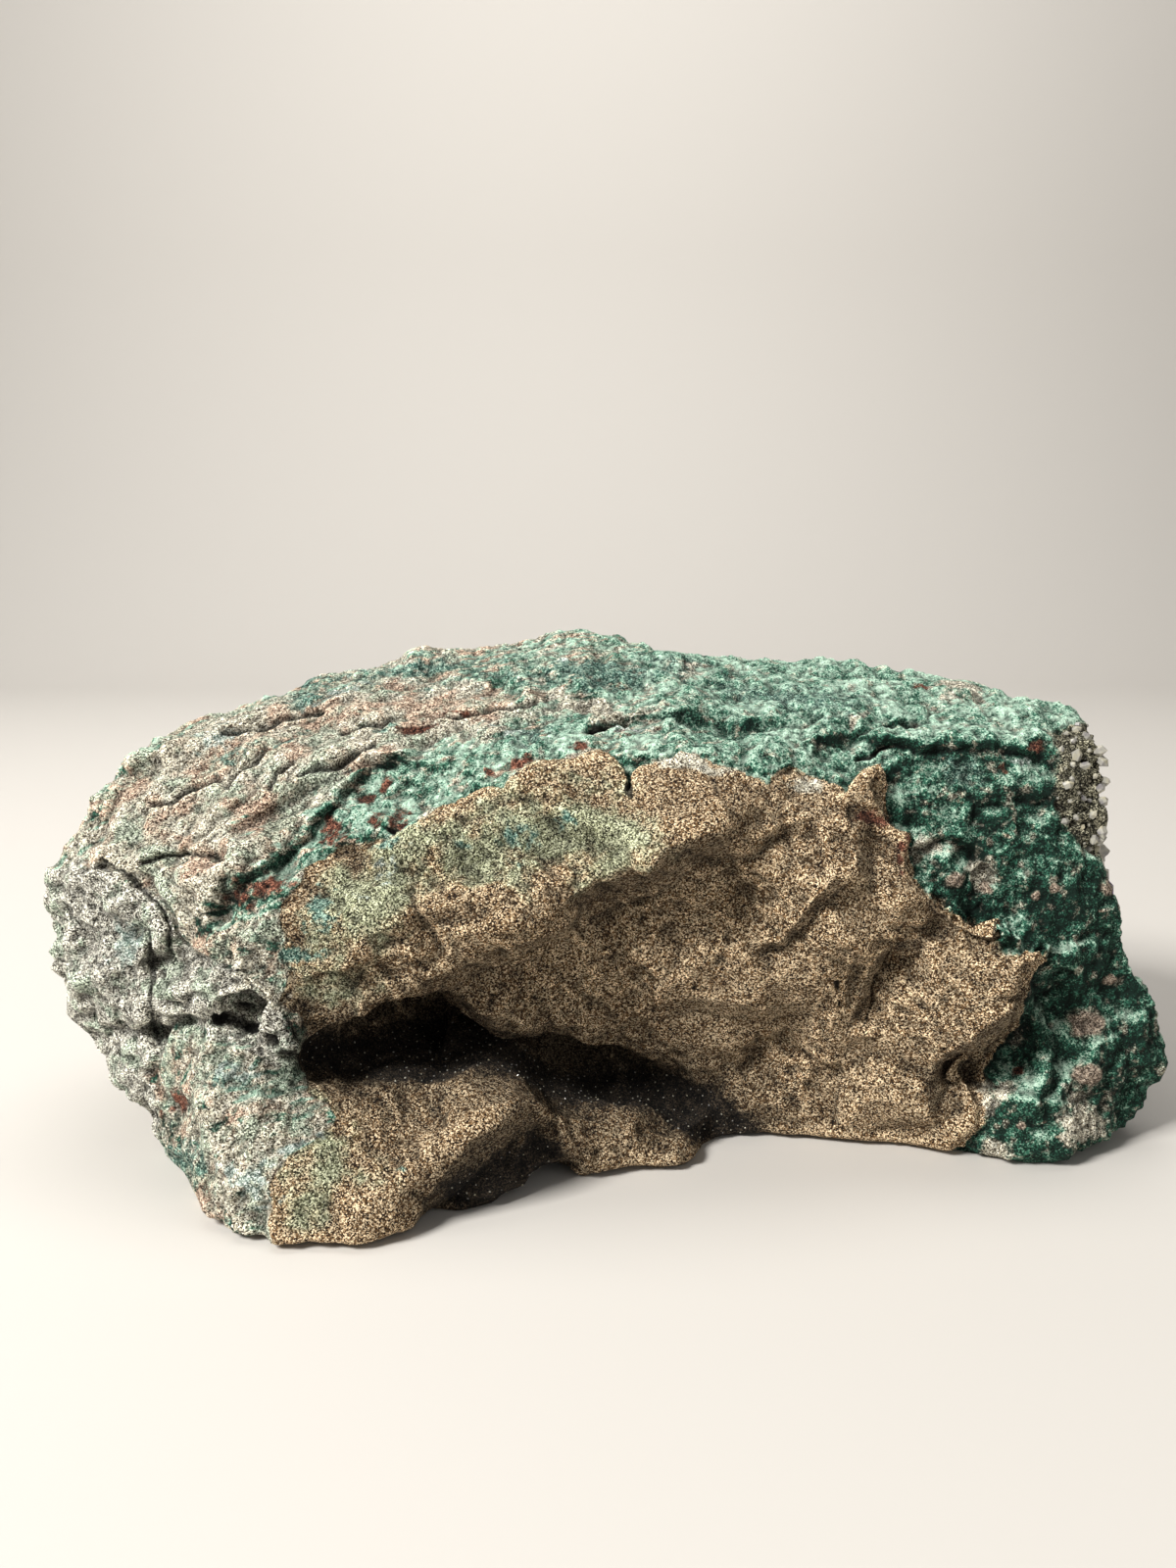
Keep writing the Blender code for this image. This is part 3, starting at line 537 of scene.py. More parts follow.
# ---------------------------------------------------------------------------- meshes
@dataclass
class Surface:
    """Points and the faces between them, as arrays.

    Attributes:
        points: positions, one row each.
        faces: indices of each face's points, one row each.
    """

    SMOOTHING = 0.6
    WAY_BACK = 0.92

    points: Numbers
    faces: Numbers

    @classmethod
    def of(cls, mesh: bpy.types.Mesh) -> "Surface":
        """Reads a mesh.

        Args:
            mesh: the mesh, whose faces all have the same number of corners.

        Returns:
            Its surface.
        """
        points = np.empty(len(mesh.vertices) * 3, np.float32)
        mesh.vertices.foreach_get("co", points)
        corners = np.empty(len(mesh.loops), np.int32)
        mesh.loops.foreach_get("vertex_index", corners)
        return cls(points.reshape(-1, 3).astype(float), corners.reshape(len(mesh.polygons), -1))

    def _gathered(self, values: Numbers) -> Numbers:
        """Adds up each face corner's values at its point.

        Args:
            values: one row for each corner of each face.

        Returns:
            One row for each point.
        """
        total = np.zeros((len(self.points), values.shape[-1]))
        for corner in range(self.faces.shape[1]):
            for k in range(values.shape[-1]):
                total[:, k] += np.bincount(self.faces[:, corner], values[:, corner, k], len(self.points))
        return total

    def averaged(self, values: Numbers) -> Numbers:
        """Averages the values at each point's neighbours.

        Args:
            values: one row for each point.

        Returns:
            The means, one row for each point.
        """
        at_corners = values[self.faces]
        total = self._gathered(np.roll(at_corners, 1, axis=1) + np.roll(at_corners, -1, axis=1))
        return total / (2 * np.bincount(self.faces.ravel(), minlength=len(self.points)))[:, None]

    def smooth(self, rounds: int) -> None:
        """Moves each point towards its neighbours, then nearly as far back, so that the form stays."""
        for _ in range(rounds):
            for step in (self.SMOOTHING, -self.SMOOTHING * self.WAY_BACK):
                self.points = self.points + (self.averaged(self.points) - self.points) * step

    def normals(self) -> Numbers:
        """Returns the normal at each point."""
        at_corners = self.points[self.faces]
        across = np.cross(at_corners[:, 2] - at_corners[:, 0], at_corners[:, -1] - at_corners[:, 1])
        total = self._gathered(np.repeat(across[:, None], self.faces.shape[1], axis=1))
        return total / np.maximum(np.linalg.norm(total, axis=1, keepdims=True), 1e-12)

    def part(self, chosen: Numbers) -> tuple["Surface", Numbers]:
        """Returns a copy of the chosen faces, and which points it kept."""
        kept, faces = np.unique(self.faces[chosen], return_inverse=True)
        return Surface(self.points[kept], faces.reshape(-1, self.faces.shape[1])), kept

    def as_object(self, name: str, normals: Numbers | None = None, **marks: Numbers) -> bpy.types.Object:
        """Makes a smooth-shaded object.

        Args:
            name: the object's name.
            normals: the normal at each point, where the mesh's own isn't wanted.
            marks: numbers for each point, which materials read as attributes.

        Returns:
            The object.
        """
        mesh = bpy.data.meshes.new(name)
        mesh.from_pydata(self.points, [], self.faces)
        mesh.shade_smooth()
        if normals is not None:
            mesh.normals_split_custom_set_from_vertices(normals)
        for mark, values in marks.items():
            mesh.attributes.new(mark, "FLOAT", "POINT").data.foreach_set("value", values.astype(np.float32))
        return new_object(name, mesh)


def new_object(name: str, mesh: bpy.types.Mesh) -> bpy.types.Object:
    """Links a new object for the mesh.

    Args:
        name: the object's name.
        mesh: the mesh.

    Returns:
        The object.
    """
    obj = bpy.data.objects.new(name, mesh)
    bpy.context.scene.collection.objects.link(obj)
    return obj


def object_from(name: str, bm: bmesh.types.BMesh) -> bpy.types.Object:
    """Makes an object of the bmesh and frees it.

    Args:
        name: the object's name.
        bm: the bmesh.

    Returns:
        The object.
    """
    mesh = bpy.data.meshes.new(name)
    bm.to_mesh(mesh)
    bm.free()
    return new_object(name, mesh)


def made_real(obj: bpy.types.Object) -> bpy.types.Object:
    """Replaces an object's mesh by what its modifiers make of it, and removes them.

    Args:
        obj: the object.

    Returns:
        The same object.
    """
    graph = bpy.context.evaluated_depsgraph_get()
    mesh = bpy.data.meshes.new_from_object(obj.evaluated_get(graph), depsgraph=graph)
    obj.modifiers.clear()
    obj.data = mesh
    return obj


def shown_as(
    obj: bpy.types.Object, node: str, material: bpy.types.Material | None = None
) -> None:
    """Hands a finished piece over.

    Args:
        obj: the piece.
        node: the CAD node that it stands in for.
        material: its finish, where it has none yet.
    """
    if material:
        obj.data.materials.clear()
        obj.data.materials.append(material)
    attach(obj, "root")
    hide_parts(node)
    LOG.info("%s: %d triangles", obj.name, sum(len(p.vertices) - 2 for p in obj.data.polygons))


# ---------------------------------------------------------------------------- node trees
class Graph:
    """Adds nodes to a tree.

    Args:
        tree: the node tree.
    """

    def __init__(self, tree: bpy.types.NodeTree) -> None:
        """Keeps the tree."""
        self.tree = tree

    def node(self, kind: str, settings: dict | None = None, sockets: dict | None = None) -> bpy.types.Node:
        """Adds a node.

        Args:
            kind: the node's type.
            settings: its properties, and `stops` for a ramp, as (place, colour) pairs.
            sockets: values, sockets or Values for its inputs, by name or number.

        Returns:
            The node.
        """
        node = self.tree.nodes.new(kind)
        for name, value in (settings or {}).items():
            if name == "stops":
                self._set_stops(node.color_ramp, value)
            else:
                setattr(node, name, value)
        for name, value in (sockets or {}).items():
            self.feed(node.inputs[name], value)
        return node

    def feed(self, socket: bpy.types.NodeSocket, value: object) -> None:
        """Links or sets one input.

        Args:
            socket: the input.
            value: a Value or a socket to link, or what to set. A colour may leave out its alpha.
        """
        if isinstance(value, Value):
            value = value.socket
        if isinstance(value, bpy.types.NodeSocket):
            self.tree.links.new(value, socket)
        elif isinstance(value, tuple) and socket.type == "RGBA" and len(value) == 3:
            socket.default_value = (*value, 1)
        else:
            socket.default_value = value

    @staticmethod
    def _set_stops(ramp: bpy.types.ColorRamp, stops: Stops) -> None:
        """Gives the ramp these stops."""
        while len(ramp.elements) < len(stops):
            ramp.elements.new(0.5)
        for element, (place, colour) in zip(ramp.elements, stops):
            element.position = place
            element.color = (*colour, 1)


class Value:
    """A number in a shader. Arithmetic on it adds Math nodes.

    Args:
        graph: where the nodes are added.
        socket: the output that gives the number.
    """

    def __init__(self, graph: Graph, socket: bpy.types.NodeSocket) -> None:
        """Keeps the socket and its graph."""
        self.graph = graph
        self.socket = socket

    def _with(self, operation: str, first: "Value | float", second: "Value | float") -> "Value":
        """Returns what a Math node makes of two numbers."""
        node = self.graph.node("ShaderNodeMath", {"operation": operation}, {0: first, 1: second})
        return Value(self.graph, node.outputs[0])

    def __add__(self, other: "Value | float") -> "Value":
        """Returns the sum."""
        return self._with("ADD", self, other)

    def __radd__(self, other: float) -> "Value":
        """Returns the sum, from a plain number on the left."""
        return self._with("ADD", other, self)

    def __sub__(self, other: "Value | float") -> "Value":
        """Returns the difference."""
        return self._with("SUBTRACT", self, other)

    def __rsub__(self, other: float) -> "Value":
        """Returns the difference, from a plain number on the left."""
        return self._with("SUBTRACT", other, self)

    def __mul__(self, other: "Value | float") -> "Value":
        """Returns the product."""
        return self._with("MULTIPLY", self, other)

    def __rmul__(self, other: float) -> "Value":
        """Returns the product, from a plain number on the left."""
        return self._with("MULTIPLY", other, self)

    def within(self, low: float, high: float) -> "Value":
        """Eases the number from 0 to 1.

        Args:
            low: where it is 0.
            high: where it is 1. It may be less than low.

        Returns:
            The eased number.
        """
        sockets = {"Value": self, "From Min": low, "From Max": high}
        node = self.graph.node("ShaderNodeMapRange", {"interpolation_type": "SMOOTHSTEP"}, sockets)
        return Value(self.graph, node.outputs["Result"])


class Shader(Graph):
    """Builds one material's nodes.

    Args:
        name: the material's name.
        surface: constant values of its surface, by input.
    """

    NOISE_ROUGHNESS = 0.58

    def __init__(self, name: str, **surface: float) -> None:
        """Makes the material and sets its surface."""
        self.material = bpy.data.materials.new(name)
        self.material.use_nodes = True
        super().__init__(self.material.node_tree)
        self.surface = self.tree.nodes["Principled BSDF"]
        self.place = self.node("ShaderNodeTexCoord").outputs["Object"]
        for socket, value in surface.items():
            self.surface.inputs[socket.replace("_", " ")].default_value = value

    def attribute(self, name: str) -> Value:
        """Returns a number that the mesh carries for each point."""
        return Value(self, self.node("ShaderNodeAttribute", {"attribute_name": name}).outputs["Fac"])

    def noise(self, size: float, detail: float = 2.0, length: float = 1, turn: float = 0.0) -> Value:
        """Returns noise from 0 to 1.

        Args:
            size: how large its lumps are.
            detail: how many finer layers it has.
            length: how many times longer its lumps are along its own X.
            turn: how far its X is turned about the vertical, in degrees.

        Returns:
            The noise.
        """
        sockets = {
            "Vector": self.place,
            "Rotation": (0.0, 0.0, math.radians(turn)),
            "Scale": (length * size, size, size),
        }
        place = self.node("ShaderNodeMapping", {"vector_type": "TEXTURE"}, sockets).outputs[0]
        sockets = {"Vector": place, "Scale": 1.0, "Detail": detail, "Roughness": self.NOISE_ROUGHNESS}
        return Value(self, self.node("ShaderNodeTexNoise", None, sockets).outputs["Fac"])

    def grains(self, size: float) -> Value:
        """Gives each grain a random number.

        Args:
            size: how large a grain is, about.

        Returns:
            The number, from 0 to 1.
        """
        node = self.node("ShaderNodeTexVoronoi", None, {"Vector": self.place, "Scale": 1 / size})
        red = self.node("ShaderNodeSeparateColor", None, {"Color": node.outputs["Color"]}).outputs[0]
        return Value(self, red)

    def ramp(self, value: Value, stops: Stops) -> bpy.types.NodeSocket:
        """Returns the colour that the stops give for the value."""
        return self.node("ShaderNodeValToRGB", {"stops": stops}, {"Fac": value}).outputs["Color"]

    def mix(self, factor: Value, first: object, second: object) -> bpy.types.NodeSocket:
        """Returns the first colour where the factor is 0 and the second where it is 1."""
        node = self.node("ShaderNodeMix", {"data_type": "RGBA"}, {"Factor": factor, 6: first, 7: second})
        return node.outputs[2]

    def scaled(self, colour: object, factor: Value) -> bpy.types.NodeSocket:
        """Returns the colour times the factor."""
        sockets = {0: colour, "Scale": factor}
        return self.node("ShaderNodeVectorMath", {"operation": "SCALE"}, sockets).outputs[0]

    def bump(self, height: Value, depth: float) -> bpy.types.NodeSocket:
        """Returns the normal of a surface raised by height times depth."""
        return self.node("ShaderNodeBump", None, {"Height": height, "Distance": depth}).outputs["Normal"]

    def finish(self, colour: object, **varying: object) -> bpy.types.Material:
        """Feeds the surface.

        Args:
            colour: its colour.
            varying: what else changes over it, by input.

        Returns:
            The material.
        """
        self.feed(self.surface.inputs["Base Color"], colour)
        for socket, value in varying.items():
            self.feed(self.surface.inputs[socket.replace("_", " ")], value)
        return self.material


# ---------------------------------------------------------------------------- finishes
@dataclass(frozen=True)
class Tones:
    """Colours of one mineral.

    Attributes:
        dark: its darkest grains.
        middle: most of it.
        pale: its palest grains.
        places: where these lie on the ramp.
    """

    dark: Colour
    middle: Colour
    pale: Colour
    places: tuple[float, float, float] = (0.20, 0.5, 0.84)

    def stops(self) -> Stops:
        """Returns the ramp's stops."""
        return tuple(zip(self.places, (self.dark, self.middle, self.pale)))


FRESH_BASALT = Tones((0.013, 0.006, 0.003), (0.192, 0.109, 0.046), (0.86, 0.69, 0.46))
OLIVE_BASALT = Tones((0.018, 0.018, 0.009), (0.215, 0.228, 0.13), (0.66, 0.68, 0.47))
WEATHERED_BASALT = Tones((0.026, 0.022, 0.017), (0.385, 0.365, 0.295), (0.92, 0.90, 0.80))
RIND = Tones((0.004, 0.018, 0.012), (0.035, 0.150, 0.094), (0.47, 0.64, 0.51))
BEIGE_PLATE = Tones((0.045, 0.035, 0.023), (0.49, 0.445, 0.33), (0.94, 0.90, 0.76))
PINK_PLATE = Tones((0.05, 0.022, 0.014), (0.50, 0.34, 0.24), (0.90, 0.73, 0.56))
TEAL = Tones((0.006, 0.028, 0.022), (0.058, 0.140, 0.110), (0.36, 0.50, 0.41))
BLOOM = Tones((0.08, 0.12, 0.10), (0.34, 0.42, 0.365), (0.76, 0.82, 0.76))
RUST = Tones((0.012, 0.004, 0.003), (0.135, 0.044, 0.026), (0.34, 0.15, 0.095))
NODULE = Tones((0.05, 0.037, 0.028), (0.23, 0.17, 0.125), (0.52, 0.43, 0.34))
GREENED_BASALT = Tones((0.022, 0.030, 0.021), (0.245, 0.32, 0.23), (0.70, 0.78, 0.63))
DRUSE_GROUND = Tones((0.006, 0.006, 0.004), (0.085, 0.078, 0.048), (0.52, 0.49, 0.36))
# The crevices' near black: part dark stain, part painted shadow
LINING_STAIN_AND_SHADOW = Tones((0.0015, 0.0012, 0.001), (0.010, 0.007, 0.005), (0.06, 0.045, 0.03))

# Each patch's mineral, tones, raggedness and the softness of its edge
PATCH_TONES = (
    (Mineral.TAN, BEIGE_PLATE, 2.2, 0.5),
    (Mineral.TEAL, TEAL, 4.2, 0.9),
    (Mineral.NODULE, NODULE, 0.9, 0.35),
    (Mineral.RUST, RUST, 3.2, 0.6),
    (Mineral.BLOOM, BLOOM, 4.4, 0.9),
)
# How far the rind's plates and their streaks are turned about the vertical
STREAK_TURN_DEG = 28.0


@dataclass(frozen=True)
class Border:
    """How a region sets in.

    Attributes:
        mark: the region's mark on the mesh.
        low: the mark's value where the region starts.
        high: its value where the region is full.
        ragged: how far clumps of grains push the border about.
        uneven: how far the broad changes do.
        streaked: how far the streaks do.
    """

    mark: str
    low: float
    high: float
    ragged: float = 0.0
    uneven: float = 0.0
    streaked: float = 0.0


@dataclass(frozen=True)
class Blotches:
    """Areas that are laid out by noise alone.

    Attributes:
        size: how large they are.
        detail: how many finer layers their outline has.
        low: the noise's value where they start.
        high: its value where they are full.
        ragged: how far clumps of grains push their outline about.
    """

    size: float
    detail: int
    low: float
    high: float
    ragged: float = 0.0


class Grain:
    """The layers of noise that the rock's tones are made of.

    Args:
        shader: the material that they are added to.
    """

    GRAIN = 0.42 * MM
    ROUGH = 0.8 * MM
    CLUMP = 2.2 * MM
    LUMP = 3.4 * MM
    BROAD = 13 * MM
    STREAK = 3.6 * MM
    STREAK_LENGTH = 3.4

    def __init__(self, shader: Shader) -> None:
        """Adds the layers, and the tones that each kind of ground takes from them."""
        self.shader = shader
        self.grain = shader.grains(self.GRAIN)
        self.rough = shader.noise(self.ROUGH, 3)
        self.clumps = shader.noise(self.CLUMP, 3)
        self.lumps = shader.noise(self.LUMP, 5)
        self.broad = shader.noise(self.BROAD, 3)
        self.ragged = self.clumps - 0.5
        self.uneven = self.broad - 0.5
        self.streaks = shader.noise(self.STREAK, 4, self.STREAK_LENGTH, STREAK_TURN_DEG) - 0.5
        self.broken = self.grain * 0.86 + self.rough * 0.5 + self.clumps * 0.2 + self.broad * 0.3 - 0.45
        self.worn = self.broken + self.lumps * 0.3 - 0.14
        crust = self.rough * 1.3 + self.lumps * 1.3 + self.grain * 0.5 + self.broad * 1.2
        # Faces that look up are painted paler: painted light
        self.crust = crust + shader.attribute("dusty") * 0.52 - 1.97

    def height(self, fresh: Value) -> Value:
        """Returns the fine relief, with lower lumps on the freshly broken face."""
        fine = self.grain * 0.25 + self.rough * 0.9 + self.clumps * 1.2
        return fine + self.lumps * (2.2 - fresh * 1.6)

    def within(self, border: Border) -> Value:
        """Gives how far the rock is inside a region.

        Args:
            border: how the region sets in.

        Returns:
            Numbers from 0 to 1.
        """
        mark = self.shader.attribute(border.mark)
        for field, push in (
            (self.ragged, border.ragged),
            (self.uneven, border.uneven),
            (self.streaks, border.streaked),
        ):
            if push:
                mark = mark + field * push
        return mark.within(border.low, border.high)

    def blotches(self, kind: Blotches) -> Value:
        """Gives how far the rock is inside blotches.

        Args:
            kind: what they are like.

        Returns:
            Numbers from 0 to 1.
        """
        field = self.shader.noise(kind.size, kind.detail)
        if kind.ragged:
            field = field + self.ragged * kind.ragged
        return field.within(kind.low, kind.high)


class RockFinish:
    """The basalt, its rind and the minerals on it, told apart by the marks on the rock's mesh, with painted
    light and shade.
    """

    OLIVE = Border("olive", -5.0, 13.0, ragged=14.0, uneven=60.0)
    RIND = Border("fresh", 0.4, -0.4, ragged=1.6)
    NOT_WORN = Border("fresh", -2.0, 2.0)
    SMOOTHER = Border("fresh", -1.0, 1.0)
    WEATHERED = Border("weathered", -1.5, 1.5, ragged=5.0, streaked=14.0)
    EARTHY = Border("earthy", 0.33, 0.64, streaked=2.0)
    OPEN_DRUSE = Border("druse", -1.0, 1.0, ragged=3.0)
    STAINED_AND_SHADED = Border("lining", -3.5, 2.5, ragged=9.0)
    NEAR_STAIN_AND_SHADOW = Border("lining", -28.0, 2.0)
    PIT = Border(Mineral.PIT.value, 0.0, 0.3, ragged=0.6)

    PINK = Blotches(15 * MM, 2, 0.46, 0.60, ragged=0.2)
    FLECKS = Blotches(5.5 * MM, 4, 0.56, 0.68)
    GREEN = Blotches(12 * MM, 4, 0.48, 0.64, ragged=0.3)
    PATCH_EDGE = 3.2 * MM

    # How strongly each of these shows. The last four paint shade and light: shade round the crevices and in
    # the pits, light and shade on raised and sunk points, and shade in furrows and cracks
    FLECKED = 0.75
    GREENED = 0.8
    HALO_PAINTED_SHADE = 0.5
    PITTED = 0.92
    RELIEF = 0.62
    SHADE = 0.58
    # How much darker bare flecks and the druse's ground are
    FLECK_DARKER = 0.1
    GROUND_DARKER = 0.08
    # Near black: painted shade in the pits
    PIT_PAINTED_SHADE: Colour = (0.010, 0.008, 0.006)
    BUMP = 1.5 * MM

    def __init__(self) -> None:
        """Starts the material."""
        self.shader = Shader("rock", Roughness=0.9, Specular_IOR_Level=0.25)
        self.grain = Grain(self.shader)

    def material(self) -> bpy.types.Material:
        """Returns the finished material."""
        s, grain = self.shader, self.grain
        rind = self._rind(grain.within(self.EARTHY))
        colour = s.mix(grain.within(self.RIND), self._fresh(), rind)
        colour = self._hollows(self._patches(self._weathered(colour)))
        # Painted light and shade: raised points paler, sunk points, furrows and cracks darker
        light = (s.attribute("relief") * self.RELIEF + 1.0) * (1.0 - s.attribute("shade") * self.SHADE)
        height = grain.height(grain.within(self.SMOOTHER))
        return s.finish(s.scaled(colour, light), Normal=s.bump(height, self.BUMP))

    def _fresh(self) -> bpy.types.NodeSocket:
        """Returns the colour of the freshly broken face, stained olive in places."""
        s, broken = self.shader, self.grain.broken
        fresh, stained = (s.ramp(broken, tones.stops()) for tones in (FRESH_BASALT, OLIVE_BASALT))
        return s.mix(self.grain.within(self.OLIVE), fresh, stained)

    def _rind(self, earthy: Value) -> bpy.types.NodeSocket:
        """Gives the colour of the rind: green crust with bare flecks, and beige and pink plates.

        Args:
            earthy: where the plates lie.

        Returns:
            The colour.
        """
        s, worn = self.shader, self.grain.worn
        beige, pink = (s.ramp(worn, tones.stops()) for tones in (BEIGE_PLATE, PINK_PLATE))
        plates = s.mix(self.grain.blotches(self.PINK), beige, pink)
        bare = s.ramp(worn - self.FLECK_DARKER, BEIGE_PLATE.stops())
        flecks = self.grain.blotches(self.FLECKS) * self.FLECKED
        return s.mix(earthy, s.mix(flecks, s.ramp(self.grain.crust, RIND.stops()), bare), plates)

    def _weathered(self, colour: bpy.types.NodeSocket) -> bpy.types.NodeSocket:
        """Adds the grey weathered end, and green in the worn parts.

        Args:
            colour: the colour so far.

        Returns:
            The colour with them.
        """
        s, grain = self.shader, self.grain
        grey = grain.within(self.WEATHERED)
        greened = grain.blotches(self.GREEN) * (1.0 - grain.within(self.NOT_WORN))
        greened = greened * (s.attribute("earthy") + grey).within(0.2, 0.6) * self.GREENED
        colour = s.mix(grey, colour, s.ramp(grain.worn, WEATHERED_BASALT.stops()))
        return s.mix(greened, colour, s.ramp(grain.worn, GREENED_BASALT.stops()))

    def _patches(self, colour: bpy.types.NodeSocket) -> bpy.types.NodeSocket:
        """Adds the minerals' patches and the open druse's ground.

        Args:
            colour: the colour so far.

        Returns:
            The colour with them.
        """
        s, broken = self.shader, self.grain.broken
        for mineral, tones, spread, softness in PATCH_TONES:
            wobble = (s.noise(self.PATCH_EDGE, 5) - 0.5) * spread
            there = (s.attribute(mineral.value) + wobble).within(-0.1, softness)
            colour = s.mix(there, colour, s.ramp(broken, tones.stops()))
        ground = s.ramp(broken - self.GROUND_DARKER, DRUSE_GROUND.stops())
        return s.mix(self.grain.within(self.OPEN_DRUSE), colour, ground)

    def _hollows(self, colour: bpy.types.NodeSocket) -> bpy.types.NodeSocket:
        """Adds the crevices' dark, part stain and part painted shadow, painted shade round it, and the pits,
        painted near black as shade.

        Args:
            colour: the colour so far.

        Returns:
            The colour with them.
        """
        s, grain = self.shader, self.grain
        # Painted shade in a broad halo round the crevices' dark
        colour = s.scaled(colour, 1.0 - grain.within(self.NEAR_STAIN_AND_SHADOW) * self.HALO_PAINTED_SHADE)
        # The crevices' near black: part dark stain, part painted shadow
        colour = s.mix(grain.within(self.STAINED_AND_SHADED), colour, s.ramp(grain.broken, LINING_STAIN_AND_SHADOW.stops()))
        # The pits are painted near black: painted shade in the holes
        return s.mix(grain.within(self.PIT) * self.PITTED, colour, self.PIT_PAINTED_SHADE)


@dataclass(frozen=True)
class AmethystFinish:
    """Clear violet quartz, paler towards the root of each point.

    Attributes:
        stops: its colours from the root to the tip.
        absorbed: the colour that light takes on inside it.
        density: how strongly.
        blotch: size of the changes in its colour.
    """

    stops: Stops = ((0.0, (0.94, 0.92, 0.97)), (0.45, (0.79, 0.61, 0.91)), (0.95, (0.60, 0.32, 0.80)))
    absorbed: Colour = (0.60, 0.28, 0.80)
    density: float = 42.0
    blotch: float = 6 * MM

    def material(self) -> bpy.types.Material:
        """Returns the material."""
        s = Shader("amethyst", Transmission_Weight=0.8, IOR=1.544, Roughness=0.04)
        tip = s.attribute("tip") + (s.noise(self.blotch) - 0.5) * 0.5
        sockets = {"Color": self.absorbed, "Density": self.density}
        absorption = s.node("ShaderNodeVolumeAbsorption", None, sockets)
        s.feed(s.tree.nodes["Material Output"].inputs["Volume"], absorption.outputs[0])
        return s.finish(s.ramp(tip, self.stops))


@dataclass(frozen=True)
class QuartzFinish:
    """Pale milky quartz, faintly yellow in places.

    Attributes:
        stops: its colours.
        blotch: size of the changes between them.
    """

    stops: Stops = ((0.35, (0.34, 0.32, 0.32)), (0.5, (0.58, 0.56, 0.48)), (0.65, (0.68, 0.62, 0.44)))
    blotch: float = 5 * MM

    def material(self) -> bpy.types.Material:
        """Returns the material."""
        s = Shader("milky quartz", Transmission_Weight=0.4, IOR=1.544, Roughness=0.15)
        return s.finish(s.ramp(s.noise(self.blotch, 3), self.stops))


@dataclass(frozen=True)
class BedFinish:
    """The layer under the points: pale chalcedony at the mouth, then fine violet-grey quartz.

    Attributes:
        stops: its colours, from the bottom of the hollow to its mouth.
        grain: size of its grains.
        wobble: size of the wobbles in its bands.
        relief: height of its grains.
    """

    stops: Stops = (
        (0.0, (0.20, 0.12, 0.30)), (0.6, (0.30, 0.20, 0.42)), (0.84, (0.52, 0.45, 0.58)),
        (0.90, (0.80, 0.79, 0.76)), (0.94, (0.50, 0.53, 0.52)), (1.0, (0.74, 0.71, 0.64)),
    )
    grain: float = 1.2 * MM
    wobble: float = 4 * MM
    relief: float = 0.6 * MM

    def material(self) -> bpy.types.Material:
        """Returns the material."""
        s = Shader("quartz bed", Roughness=0.35)
        share = s.attribute("share") + (s.noise(self.wobble) - 0.5) * 0.05
        grain = s.grains(self.grain)
        colour = s.scaled(s.ramp(share, self.stops), grain * 0.5 + 0.7)
        return s.finish(colour, Normal=s.bump(grain, self.relief))


# ---------------------------------------------------------------------------- the rock
@dataclass(frozen=True)
class Ground:
    """How one kind of surface is broken up.

    Attributes:
        facets: size, lean and seed of each set of its flat facets.
        lumps: height, size, layers and seed of its rounded lumps.
    """

    facets: tuple[tuple[float, float, int], ...]
    lumps: tuple[float, float, int, int]

    def height(self, noise: Noise, points: Numbers, bent: Numbers) -> Numbers:
        """Gives the surface's heights.

        Args:
            noise: the fields.
            points: the points, where the lumps are looked up.
            bent: the points moved a little, where the facets are, so that their creases aren't straight.

        Returns:
            The heights.
        """
        tall, *lump = self.lumps
        raised = tall * noise.layered(points, *lump)
        for size, lean, seed in self.facets:
            raised += noise.facets(bent, size, lean, seed)
        return raised


BROKEN = Ground(((32 * MM, 0.24, 50), (12 * MM, 0.24, 51), (5 * MM, 0.26, 52)), (0.22 * MM, 1.9 * MM, 1, 53))
CRUSTY = Ground(((18 * MM, 0.20, 55), (7 * MM, 0.30, 66)), (0.8 * MM, 4.4 * MM, 2, 54))
PITTED = Ground(((15 * MM, 0.46, 58), (5.5 * MM, 0.50, 64)), (0.8 * MM, 3.6 * MM, 2, 57))
GAPPY = Ground(((6 * MM, 0.45, 65),), (1.2 * MM, 3 * MM, 2, 60))
# Size, lean and seed of the facets that plates are made of, and how much shorter they count along X
PLATE_FACETS = (5 * MM, 0.52, 63)
PLATE_LENGTH = 0.28


# How much barer of green each of these areas is
EARTHY_AREAS = ((PLATES, 0.45), (SPOTTED_FLANK, 0.22), (SPOTTED_LOBE, 0.14), (GREEN_BAND, -0.34))


